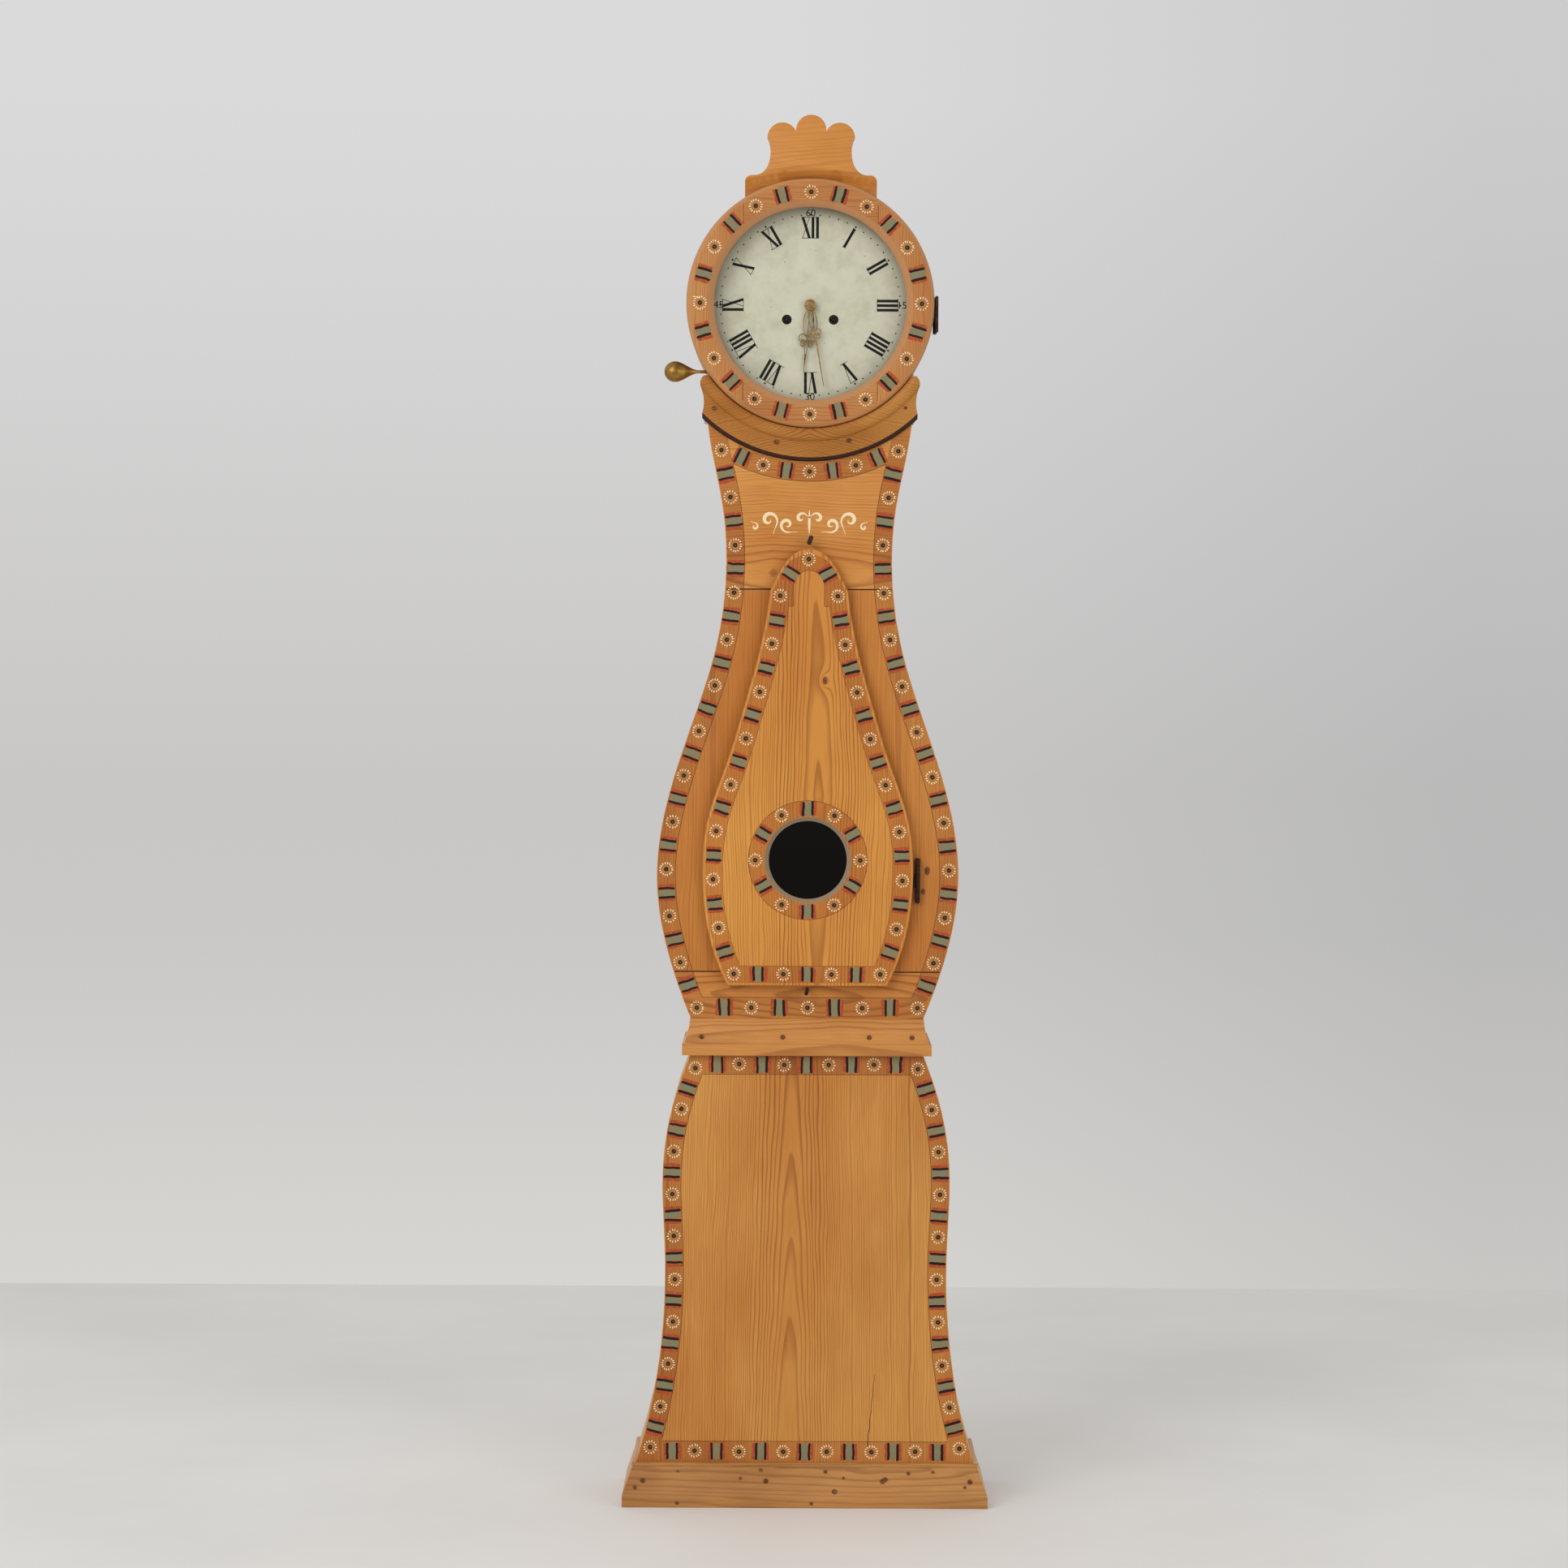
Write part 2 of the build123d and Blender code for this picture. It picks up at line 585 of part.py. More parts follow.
def make_trunk_hinge():
    """Let-in tangs: the middle one in the door's edge, the outer two through the stile."""
    low = trunk_foot_z + trunk_hinge_rise
    third = trunk_hinge_length / 3
    pin = 1.4
    x, y = trunk_hinge_x, trunk_hinge_y
    z_door = (low + third + 0.3, low + 2 * third - 0.3)
    door = knuckle(x, y, *z_door, trunk_knuckle, pin + running_fit)
    tang = block((x - 26, x - 2), (y - tang_thickness / 2, y + tang_thickness / 2), z_door)
    parts["trunk_hinge_door_tang"] = door + tang
    parts["trunk_door"] -= tang
    case = knuckle(x, y, low, low + third, trunk_knuckle, pin)
    case += knuckle(x, y, low + 2 * third, low + trunk_hinge_length, trunk_knuckle, pin)
    tang_x = (x - tang_thickness / 2, x + tang_thickness / 2)
    tangs = [block(tang_x, (y + 2, inner_front_y), (foot, foot + third)) for foot in (low, low + 2 * third)]
    parts["hinge_case_leaves"] = grouped(parts["hinge_case_leaves"], case + tangs)
    parts["trunk_stile_right"] -= tangs
    hinge_pin = Pos(x, y, low + trunk_hinge_length / 2) * Cylinder(pin, trunk_hinge_length + 2)
    parts["hinge_pins"] = grouped(parts["hinge_pins"], hinge_pin)


def make_catch(name, rail, z, length, width, lean):
    """A nail bent over into a small turning tongue; lean is the tongue's angle from upright."""
    near_y = front_y - proud
    shank = 2.0
    tongue = Pos(0, length / 2 - width / 2) * RectangleRounded(width, length, 0.49 * width)
    tongue = slab(Pos(0, z) * Rot(0, 0, lean) * tongue, near_y, near_y + catch_thickness)
    parts[name] = tongue + disc(0, z, shank, near_y + catch_thickness / 2, inner_front_y - 2)
    parts[rail] -= disc(0, z, shank + running_fit, front_y - 1, inner_front_y - 1)


# --- Movement ----------------------------------------------------------------------------------

def gear(x, z, teeth, module, tooth_at, near_y, far_y):
    """A spur wheel with one tooth centred at the angle tooth_at, in degrees from +X towards +Z."""
    pitch = teeth * module / 2
    root, tip = pitch - 1.15 * module, pitch + 0.85 * module
    step = 2 * math.pi / teeth
    corners = []
    for number in range(teeth):
        middle = math.radians(tooth_at) + number * step
        for radius, share in ((root, -0.27), (pitch, -half_tooth_share), (tip, -0.09),
                              (tip, 0.09), (pitch, half_tooth_share), (root, 0.27)):
            angle = middle + share * step
            corners.append((x + radius * math.cos(angle), z + radius * math.sin(angle)))
    return slab(make_face(Polyline(*corners, close=True)), near_y, far_y)


def meshed(driver, driven, module, driver_span, driven_span):
    """Two wheels in mesh: each is (x, z, teeth). The driver has a tooth on the line of centres."""
    line = math.degrees(math.atan2(driven[1] - driver[1], driven[0] - driver[0]))
    first = gear(*driver, module, line, *driver_span)
    second = gear(*driven, module, line + 180 + 180 / driven[2], *driven_span)
    return first, second


def hand_outline(length, loop_top, curl, fork_top):
    """A pierced hand, pointing up from the centre: ring, open loop, two curls, fork and needle."""
    loop_foot, wire = 6.0, 1.5
    half_loop, half_width = (loop_top - loop_foot) / 2, 0.62 * curl
    loop = Ellipse(half_width, half_loop) - Ellipse(half_width - wire, half_loop - wire)
    loop = Pos(0, loop_foot + half_loop) * loop
    inner = Pos(0, loop_foot + half_loop) * Rectangle(wire, 2 * half_loop - wire)
    snail = Circle(curl / 2) - Circle(curl / 2 - wire) + Pos(0, 0.3 * curl) * Circle(0.2 * curl)
    curls = [Pos(side * (curl / 2 - wire / 2), loop_top + 0.1 * curl) * snail for side in (-1, 1)]
    small = Circle(0.3 * curl) - Circle(0.3 * curl - wire)
    curls += [Pos(side * 0.4 * curl, loop_top + 0.75 * curl) * small for side in (-1, 1)]
    foot, half_foot = loop_top + 0.4 * curl, 0.36 * curl
    fork = make_face(Polyline((-half_foot, foot), (half_foot, foot), (0, fork_top), close=True))
    fork -= make_face(Polyline(
        (wire - half_foot, foot + wire), (half_foot - wire, foot + wire), (0, fork_top - 4 * wire),
        close=True))
    thin = wire / 3
    needle = make_face(Polyline(
        (-wire, fork_top - 8), (wire, fork_top - 8), (thin, length), (-thin, length), close=True))
    return Circle(7) + loop + inner + curls + fork + needle


def make_movement():
    bottom_z = seat_top_z
    top_z = dial_z + plate_top_rise
    winding_z = dial_z - winding_drop
    pivot_z = dial_z + pivot_rise
    reach = math.hypot(winding_x, winding_drop)

    # Wheel work. The counts give one turn of the barrel for twelve of the centre arbor, and
    # sixty turns of the escape wheel for one.
    great_teeth, leaves = 96, 8
    great_module = 2 * reach / (great_teeth + leaves)
    centre_teeth, third_teeth = 64, 60
    train_module = 2 * (reach - barrel_radius - wheel_clearance) / (centre_teeth + 1.7)
    third_reach = (centre_teeth + leaves) * train_module / 2
    escape_reach = (third_teeth + leaves) * train_module / 2
    third_x = third_reach / 2
    third_z = dial_z + third_reach * math.sqrt(3) / 2
    escape_z = third_z + math.sqrt(escape_reach ** 2 - third_x ** 2)
    escape_radius = 20.0

    near, far = front_plate_y + plate_thickness, back_plate_y
    centre_pinion, great = meshed(
        (0, dial_z, leaves), (winding_x, winding_z, great_teeth), great_module,
        (near + 3, near + 9), (near + 4, near + 7))
    centre_wheel, third_pinion = meshed(
        (0, dial_z, centre_teeth), (third_x, third_z, leaves), train_module,
        (near + 15, near + 17), (near + 14, near + 18))
    third_wheel, escape_pinion = meshed(
        (third_x, third_z, third_teeth), (0, escape_z, leaves), train_module,
        (near + 25, near + 27), (near + 24, near + 28))
    motion_reach = 30.0
    minute_z = dial_z - motion_reach
    motion_near, motion_far = dial_y + dial_thickness + 2, front_plate_y - 1
    motion_middle = (motion_near + motion_far) / 2
    cannon, minute_wheel = meshed(
        (0, dial_z, 20), (0, minute_z, 60), 2 * motion_reach / 80,
        (motion_middle + 0.5, motion_far), (motion_middle + 0.5, motion_far))
    minute_pinion, hour_wheel = meshed(
        (0, minute_z, 15), (0, dial_z, 60), 2 * motion_reach / 75,
        (motion_near, motion_middle + 0.5), (motion_near, motion_middle - 0.5))

    # Arbors, pivoting in both plates
    def spindle(x, z, start, end, radius=arbor):
        return disc(x, z, radius, start, end)

    pivots = []
    cannon_radius = 3.0
    ends = (front_plate_y, back_plate_y + plate_thickness)

    hand_y = dial_y - 4
    boss_y = hand_y - 8.5
    parts["centre_arbor"] = spindle(0, dial_z, boss_y - 0.6, ends[1]) + centre_pinion + centre_wheel
    pivots.append((0, dial_z, arbor))
    cannon += spindle(0, dial_z, hand_y - 5, front_plate_y - 1, cannon_radius)
    parts["cannon_pinion"] = cannon - spindle(0, dial_z, hand_y - 8, front_plate_y, arbor + running_fit)
    minute = Rot(0, 0, -minute_angle) * hand_outline(minute_length, 42, 11, 62)
    minute = slab(minute, hand_y - 5, hand_y - 3.8)
    minute = Pos(0, 0, dial_z) * (minute - slab(Circle(cannon_radius), hand_y - 6, hand_y))
    boss = disc(0, dial_z, 8.5, hand_y - 6.5, hand_y - 5)
    boss += Pos(0, hand_y - 7.5, dial_z) * Rot(-90, 0, 0) * Cone(3.4, 7.4, 2)
    parts["minute_hand"] = minute + (boss - disc(0, dial_z, arbor + running_fit, boss_y - 1, hand_y))
    pipe = Circle(4.5) - Circle(cannon_radius + running_fit)
    pipe = Pos(0, 0, dial_z) * slab(pipe, hand_y - 1, motion_middle - 0.5)
    parts["hour_wheel"] = pipe + (hour_wheel - spindle(0, dial_z, motion_near - 1, motion_far, 4.0))
    hour = Rot(0, 0, -hour_angle) * hand_outline(hour_length, 50, 14, 84)
    hour = slab(hour, hand_y - 1, hand_y + 0.2)
    parts["hour_hand"] = Pos(0, 0, dial_z) * (hour - slab(Circle(4.5), hand_y - 2, hand_y + 1))
    parts["minute_wheel"] = minute_wheel + minute_pinion + spindle(0, minute_z, motion_near, near)
    pivots.append((0, minute_z, arbor))

    def barrel(x, wheel):
        """Barrel, great wheel and winding square on one arbor."""
        drum = spindle(x, winding_z, near + 9, far - 4, barrel_radius)
        square = slab(Pos(x, winding_z) * Rectangle(5, 5), dial_y + dial_thickness, front_plate_y - 0.5)
        return drum + wheel + spindle(x, winding_z, front_plate_y - 1, ends[1], 3.6) + square

    parts["going_barrel"] = barrel(winding_x, great)
    strike_great = gear(-winding_x, winding_z, great_teeth, great_module, 0, far - 8, far - 5)
    parts["strike_barrel"] = barrel(-winding_x, strike_great)
    pivots += [(winding_x, winding_z, 3.6), (-winding_x, winding_z, 3.6)]
    parts["third_wheel"] = third_wheel + third_pinion + spindle(third_x, third_z, *ends)
    pivots.append((third_x, third_z, arbor))
    teeth = Sketch()
    for number in range(30):
        tooth = make_face(Polyline((escape_radius - 4, -1.4), (escape_radius, 0.2), (escape_radius, 0.6),
                                   (escape_radius - 4, 1.0), close=True))
        teeth += Rot(0, 0, 12 * number) * tooth
    escape = Pos(0, 0, escape_z) * slab(teeth + Circle(escape_radius - 3.5), near + 35, near + 37)
    parts["escape_wheel"] = escape + escape_pinion + spindle(0, escape_z, *ends)
    pivots.append((0, escape_z, arbor))

    # Anchor with its crutch, on an arbor that runs through the back plate
    yoke = Circle(escape_radius + 6) - Circle(escape_radius + 1.8)
    yoke &= Pos(0, 32) * Rectangle(34, 40)
    yoke = Pos(0, escape_z) * yoke + Pos(0, pivot_z - 1) * Rectangle(8, 8)
    crutch_foot = pivot_z - 75
    anchor = slab(yoke, near + 34.5, near + 37.5) + spindle(0, pivot_z, front_plate_y, pendulum_y - 6)
    crutch_y = back_plate_y + plate_thickness + 2
    anchor += block((-2, 2), (crutch_y, crutch_y + 2), (crutch_foot, pivot_z))
    for side in (-1, 1):
        anchor += block((min(side * 4.5, side * 7), max(side * 4.5, side * 7)), (crutch_y, pendulum_y + 6),
                        (crutch_foot - 2, crutch_foot + 2))
    anchor += block((-7, 7), (crutch_y, crutch_y + 2), (crutch_foot - 2, crutch_foot + 2))
    parts["anchor"] = anchor
    pivots.append((0, pivot_z, arbor))

    # Plates, pillars, posts
    plate = Pos(0, (bottom_z + top_z) / 2) * Rectangle(2 * plate_half, top_z - bottom_z)
    for x, z, radius in pivots:
        plate -= Pos(x, z) * Circle(radius + running_fit)
    post_radius = 3.0
    posts = [(-50, dial_z + 50), (50, dial_z + 50), (-50, dial_z - 75), (50, dial_z - 75)]
    plates = [slab(plate, y, y + plate_thickness) for y in (front_plate_y, back_plate_y)]
    parts["movement_plates"] = grouped(*plates)
    corners = [(side * winding_x, z) for side in (-1, 1) for z in (bottom_z + 7, top_z - 7)]
    pillars = [spindle(x, z, near, far, 4) for x, z in corners]
    dial_posts = [spindle(x, z, dial_y + dial_thickness, front_plate_y, post_radius) for x, z in posts]
    parts["pillars_and_posts"] = grouped(*pillars, *dial_posts)
    dial = Circle(dial_radius) - Circle(dial_centre_hole)
    for x in (-winding_x, winding_x):
        dial -= Pos(x, -winding_drop) * Circle(winding_hole)
    parts["dial"] = Pos(0, 0, dial_z) * slab(dial, dial_y, dial_y + dial_thickness)

    # Back cock and pendulum
    behind = back_plate_y + plate_thickness
    cock = block((-16, 16), (behind, pendulum_y + 8), (pivot_z + 5, pivot_z + 9))
    cock += block((-16, 16), (behind, behind + 4), (pivot_z + 9, top_z - 1))
    spring_room = block((-1.4, 1.4), (pendulum_y - 5, pendulum_y + 5), (pivot_z - 1, pivot_z + 10))
    back_cock = cock - spring_room
    rod_top = pivot_z - 24
    bob_z = pivot_z - pendulum_length
    spring = block((-0.25, 0.25), (pendulum_y - 4, pendulum_y + 4), (rod_top, pivot_z + 7))
    rod_foot = bob_z - bob_radius - 24
    rod = Pos(0, pendulum_y, (rod_top + rod_foot) / 2) * Cylinder(3, rod_top - rod_foot)
    parts["pendulum_rod"] = grouped(rod, spring)
    lens = Pos(0, pendulum_y, bob_z) * Rot(90, 0, 0) * Cylinder(bob_radius, bob_thickness)
    lens = chamfer(lens.edges().filter_by(GeomType.CIRCLE), bob_thickness / 2 - 1, bob_radius / 3)
    rod_bore = Pos(0, pendulum_y, bob_z) * Cylinder(3, 3 * bob_radius)
    parts["pendulum_bob"] = lens - rod_bore
    nut = Pos(0, pendulum_y, bob_z - bob_radius - 5) * (Cylinder(9, 8) - Cylinder(3, 8))
    parts["rating_nut"] = nut

    # Bell and hammer
    bell_z = dial_z + 96
    shell = Sphere(bell_radius) - Sphere(bell_radius - 2.5)
    shell &= Pos(0, 0, bell_radius) * Box(3 * bell_radius, 3 * bell_radius, 2 * bell_radius)
    bell_y = (front_plate_y + back_plate_y) / 2
    stem = Pos(0, bell_y, bell_z) * Pos(0, 0, 10) * Cylinder(3, 56)
    foot = block((-4, 4), (bell_y - 4, back_plate_y), (bell_z - 20, bell_z - 12))
    parts["bell"] = Pos(0, bell_y, bell_z) * (shell - Pos(0, 0, 10) * Cylinder(3, 56))
    bell_stand = stem + foot + block((-4, 4), (back_plate_y, behind), (top_z, bell_z - 12))
    parts["cock_and_bell_stand"] = grouped(back_cock, bell_stand)
    hammer_x, hammer_z = -46.0, dial_z + 40
    head_x = -bell_radius - strike_gap - 7
    arm = block((head_x - 3, head_x), (bell_y - 2, bell_y + 2), (hammer_z - 2, bell_z + 4))
    arm += spindle(hammer_x, hammer_z, near + 0.5, far - 0.5, 3)
    arm += block((head_x - 3, hammer_x), (bell_y - 2, bell_y + 2), (hammer_z - 2, hammer_z + 2))
    head = Pos(head_x + 3.5, bell_y, bell_z + 4) * Rot(0, 90, 0) * Cylinder(6, 7)
    parts["hammer"] = arm + head

    # Lines and weights, run down
    for name, side in (("going", 1), ("strike", -1)):
        x = side * line_x
        hook_top = weight_top_z + 20
        line = Cylinder(line_radius, winding_z - hook_top)
        parts[name + "_line"] = Pos(x, line_y, (hook_top + winding_z) / 2) * line
        body = Pos(x, line_y, weight_top_z - weight_length / 2) * Cylinder(weight_radius, weight_length)
        body = fillet(body.edges(), 3)
        parts[name + "_weight"] = body + Pos(x, line_y, weight_top_z + 10) * Cylinder(2.5, 20)


# --- Pegs --------------------------------------------------------------------------------------

def make_pegs():
    """Round wooden pegs through the waist moulding and the plinth into the boards behind."""
    low_z, high_z = 0.5 * lower_top_z + 0.5 * trunk_foot_z, 0.6 * plinth_height
    places = [(x, low_z) for x in (-162, -37, 96, 162)] + [(x, high_z) for x in (-250, -60, 120, 255)]
    pegs = []
    for x, z in places:
        hole = disc(x, z, peg_radius, front_y - 2 * plinth_reach, front_y + 0.6 * front_board)
        for name in ("waist_moulding_front", "plinth_front"):
            stock = parts[name] & hole
            if stock:
                depth = stock.bounding_box().min.Y - peg_proud
                pegs.append(disc(x, z, peg_radius, depth, front_y + 0.6 * front_board))
    parts["pegs"] = Part() + pegs
    for name in ("waist_moulding_front", "plinth_front", "lower_front_board", "trunk_bottom_rail"):
        parts[name] -= parts["pegs"]


# --- Assembly ----------------------------------------------------------------------------------

make_lower_case()
make_plinth()
make_waist_moulding()
make_trunk()
make_back_boards()
make_collar()
make_inner_boards()
make_hood()
make_crest()
make_hood_door()
make_hood_hinge()
make_trunk_door()
make_trunk_hinge()
make_catch("top_catch", "trunk_top_rail", door_top_z + 9, 15, 7, -20)
make_catch("bottom_catch", "trunk_bottom_rail", door_foot_z - 6, 11, 5.5, 165)
make_movement()
make_pegs()

os.makedirs("parts", exist_ok=True)
for name, piece in parts.items():
    export_step(piece, f"parts/{name}.step")
print(len(parts), "nodes")
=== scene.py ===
import math
import random

import bmesh
import bpy
from mathutils import Euler, Matrix, Vector, noise


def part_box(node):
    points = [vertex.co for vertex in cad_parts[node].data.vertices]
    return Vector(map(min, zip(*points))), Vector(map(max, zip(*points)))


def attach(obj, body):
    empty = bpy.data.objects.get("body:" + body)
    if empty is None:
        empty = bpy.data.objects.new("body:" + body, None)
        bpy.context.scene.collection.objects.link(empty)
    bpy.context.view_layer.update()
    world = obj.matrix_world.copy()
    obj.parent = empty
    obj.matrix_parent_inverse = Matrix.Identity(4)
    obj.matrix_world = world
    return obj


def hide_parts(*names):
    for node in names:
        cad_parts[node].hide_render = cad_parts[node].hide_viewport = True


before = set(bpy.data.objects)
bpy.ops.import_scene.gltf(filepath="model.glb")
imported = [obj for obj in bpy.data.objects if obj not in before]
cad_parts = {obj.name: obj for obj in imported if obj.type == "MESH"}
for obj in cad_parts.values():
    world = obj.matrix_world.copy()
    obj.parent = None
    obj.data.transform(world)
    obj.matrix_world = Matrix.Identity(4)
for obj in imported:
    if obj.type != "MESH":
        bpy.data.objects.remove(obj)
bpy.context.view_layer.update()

# A painted pine longcase clock. Sizes are in metres, X to the right, Y to the back and Z up, as in
# the frame. Faces are found from the frame's own boards, and the decoration is laid out on them.
MM = 0.001
chance = random.Random(18)

# --- Lower case --------------------------------------------------------------------------------
# The front is one wide pine board, planed, waxed and yellowed, with upright grain and a flame where
# the saw ran near the heart. It is nailed over the two side boards, which were left raw.


def linear(colour):
    """An sRGB hex colour as the linear colour that a shader takes."""
    parts = [int(colour[i:i + 2], 16) / 255 for i in (1, 3, 5)]
    return (*(p / 12.92 if p <= 0.04045 else ((p + 0.055) / 1.055) ** 2.4 for p in parts), 1.0)


def add(tree, kind, settings, links):
    """Adds a node. Settings are its properties and inputs by name or number; links go to inputs."""
    node = tree.nodes.new("ShaderNode" + kind)
    for key, value in settings.items():
        if isinstance(key, str) and hasattr(node, key):
            setattr(node, key, value)
        else:
            node.inputs[key].default_value = value
    for key, source in links.items():
        tree.links.new(node.inputs[key], source if isinstance(source, bpy.types.NodeSocket)
                       else source.outputs[0])
    return node


def new_material(name):
    """An empty material with its Principled shader."""
    made = bpy.data.materials.new(name)
    made.use_nodes = True
    return made, made.node_tree, made.node_tree.nodes["Principled BSDF"]


def ramp(tree, source, stops):
    """Colours by share, as a node that reads source."""
    node = add(tree, "ValToRGB", {}, {0: source})
    node.color_ramp.elements[0].position, node.color_ramp.elements[0].color = stops[0][0], linear(stops[0][1])
    last = node.color_ramp.elements[1]
    last.position, last.color = stops[-1][0], linear(stops[-1][1])
    for share, colour in stops[1:-1]:
        node.color_ramp.elements.new(share).color = linear(colour)
    return node


# Softwood in growth rings: pale spring wood that darkens slowly to a hard brown line and breaks off.
# Rings are 3 to 5 mm apart, fibres are drawn at 0.8 mm, coarser than real, so that they show. The
# heart is the board's place in the log; edge is the colour of parts that turn away from the front,
# chosen by the surface's facing: painted light and shade on rounded edges and sides, laid over
# their wear.
def pine(name, along, heart, behind, slope=0.012, ring=3.6, spring="#D4984A", summer="#A76A2A",
         stain="#EBD9C4", rough=0.46, knots=(), edge=None):
    made, tree, shader = new_material(name)
    place = add(tree, "TexCoord", {}, {}).outputs["Object"]
    split = add(tree, "SeparateXYZ", {}, {0: place})
    across, length = split.outputs[0], split.outputs[2]
    if along != "Z":
        across, length = length, across
    stretch = (9, 9, 1.6) if along == "Z" else (1.6, 9, 9)
    drift = add(tree, "Mapping", {"Scale": stretch, "Location": (heart[0] * 7, 0.3, heart[1])}, {0: place})
    wander = add(tree, "TexNoise", {"Scale": 1.0, "Detail": 2.0, "Roughness": 0.45}, {0: drift})
    sway = add(tree, "Math", {"operation": "MULTIPLY_ADD", 1: 26 * MM, 2: -13 * MM - heart[0]}, {0: wander})
    ripple = add(tree, "Mapping", {"Scale": (48, 48, 11) if along == "Z" else (11, 48, 48)}, {0: place})
    ripple = add(tree, "TexNoise", {"Scale": 1.0, "Detail": 1.0}, {0: ripple})
    sway = add(tree, "Math", {"operation": "MULTIPLY_ADD", 1: 8 * MM}, {0: ripple, 2: sway})
    aside = add(tree, "Math", {"operation": "ADD"}, {0: across, 1: sway})
    deep = add(tree, "Math", {"operation": "ADD", 1: -behind}, {0: split.outputs[1]})
    off = add(tree, "CombineXYZ", {}, {0: aside, 1: deep})
    radius = add(tree, "VectorMath", {"operation": "LENGTH"}, {0: off}).outputs["Value"]
    from_middle = add(tree, "Math", {"operation": "ADD", 1: -heart[1]}, {0: length})
    level = add(tree, "Math", {"operation": "ABSOLUTE"}, {0: from_middle})
    radius = add(tree, "Math", {"operation": "MULTIPLY_ADD", 1: slope}, {0: level, 2: radius})
    dark = None
    for knot_across, knot_along, size in knots:
        one = add(tree, "Math", {"operation": "ADD", 1: -knot_across}, {0: across})
        two = add(tree, "Math", {"operation": "MULTIPLY_ADD", 1: 0.62, 2: -0.62 * knot_along}, {0: length})
        gap = add(tree, "CombineXYZ", {}, {0: one, 1: two})
        reach = add(tree, "VectorMath", {"operation": "LENGTH"}, {0: gap}).outputs["Value"]
        push = add(tree, "Math", {"operation": "MULTIPLY", 1: -0.55 / size}, {0: reach})
        push = add(tree, "Math", {"operation": "EXPONENT"}, {0: push})
        radius = add(tree, "Math", {"operation": "MULTIPLY_ADD", 1: 3.2 * size}, {0: push, 2: radius})
        core = add(tree, "MapRange", {"From Min": size * 1.25, "From Max": size * 0.85}, {0: reach})
        dark = core if dark is None else add(tree, "Math", {"operation": "MAXIMUM"}, {0: dark, 1: core})
    uneven = add(tree, "Math", {"operation": "MULTIPLY", 1: 70.0}, {0: radius})
    uneven = add(tree, "TexNoise", {"noise_dimensions": "1D", "Detail": 1.0, "Scale": 1.0}, {"W": uneven})
    count = add(tree, "Math", {"operation": "MULTIPLY", 1: 1 / (ring * MM)}, {0: radius})
    count = add(tree, "Math", {"operation": "MULTIPLY_ADD", 1: 2.6}, {0: uneven, 2: count})
    share = add(tree, "Math", {"operation": "FRACT"}, {0: count})
    figure = ramp(tree, share, [(0.0, spring), (0.56, spring), (0.84, summer), (0.95, summer), (1.0, spring)])
    # The line of a ring is strong in some years and faint in others.
    strength = add(tree, "Math", {"operation": "MULTIPLY", 1: 23.0}, {0: radius})
    strength = add(tree, "TexNoise", {"noise_dimensions": "1D", "Detail": 2.0, "Scale": 1.0}, {"W": strength})
    strength = add(tree, "MapRange", {"From Min": 0.32, "From Max": 0.68, "To Min": 0.25, "To Max": 1.0},
                   {0: strength})
    colour = add(tree, "Mix", {"data_type": "RGBA", 6: linear(spring)}, {0: strength, 7: figure}).outputs[2]
    fine = (1250, 1250, 22) if along == "Z" else (22, 1250, 1250)
    fibre = add(tree, "Mapping", {"Scale": fine}, {0: place})
    fibre = add(tree, "TexNoise", {"Scale": 1.0, "Detail": 2.0}, {0: fibre})
    streak = ramp(tree, fibre, [(0.3, "#E6DACE"), (0.7, "#FFFFFF")])
    colour = add(tree, "Mix", {"data_type": "RGBA", "blend_type": "MULTIPLY", 0: 0.7},
                 {6: colour, 7: streak}).outputs[2]
    patch = add(tree, "Mapping", {"Scale": (5, 5, 2) if along == "Z" else (2, 5, 5)}, {0: place})
    patch = add(tree, "TexNoise", {"Scale": 1.0, "Detail": 4.0, "Roughness": 0.6}, {0: patch})
    patch = ramp(tree, patch, [(0.35, stain), (0.62, "#FFFFFF")])
    colour = add(tree, "Mix", {"data_type": "RGBA", "blend_type": "MULTIPLY", 0: 1.0},
                 {6: colour, 7: patch}).outputs[2]
    if dark is not None:
        heartwood = ramp(tree, share, [(0.0, "#8A4E22"), (1.0, "#4E2813")])
        colour = add(tree, "Mix", {"data_type": "RGBA"}, {0: dark, 6: colour, 7: heartwood}).outputs[2]
    # Painted light and shade, with wear: faces turned away from the front take the edge colour by their
    # facing, a paler painted highlight on some boards and a darker painted shade on others.
    if edge:
        facing = add(tree, "SeparateXYZ", {}, {0: add(tree, "TexCoord", {}, {}).outputs["Normal"]}).outputs[1]
        turned = add(tree, "MapRange", {"From Min": -0.985, "From Max": -0.75, "To Max": 0.8}, {0: facing})
        colour = add(tree, "Mix", {"data_type": "RGBA", 7: linear(edge)}, {0: turned, 6: colour}).outputs[2]
    tree.links.new(shader.inputs["Base Color"], colour)
    worn = add(tree, "MapRange", {"From Min": 0.3, "From Max": 0.7, "To Min": rough - 0.06,
                                  "To Max": rough + 0.08},
               {0: fibre})
    tree.links.new(shader.inputs["Roughness"], worn.outputs[0])
    shader.inputs["Specular IOR Level"].default_value = 0.3
    relief = add(tree, "Math", {"operation": "MULTIPLY_ADD", 1: 0.6}, {0: share, 2: fibre})
    bump = add(tree, "Bump", {"Strength": 0.22, "Distance": 0.25 * MM}, {"Height": relief})
    tree.links.new(shader.inputs["Normal"], bump.outputs[0])
    return made


def select_only(piece):
    """Leaves one object selected and active."""
    bpy.ops.object.select_all(action="DESELECT")
    piece.select_set(True)
    bpy.context.view_layer.objects.active = piece


def place_piece(mesh, name):
    """Puts a mesh in the scene as a new piece."""
    piece = bpy.data.objects.new(name, mesh)
    bpy.context.scene.collection.objects.link(piece)
    return piece


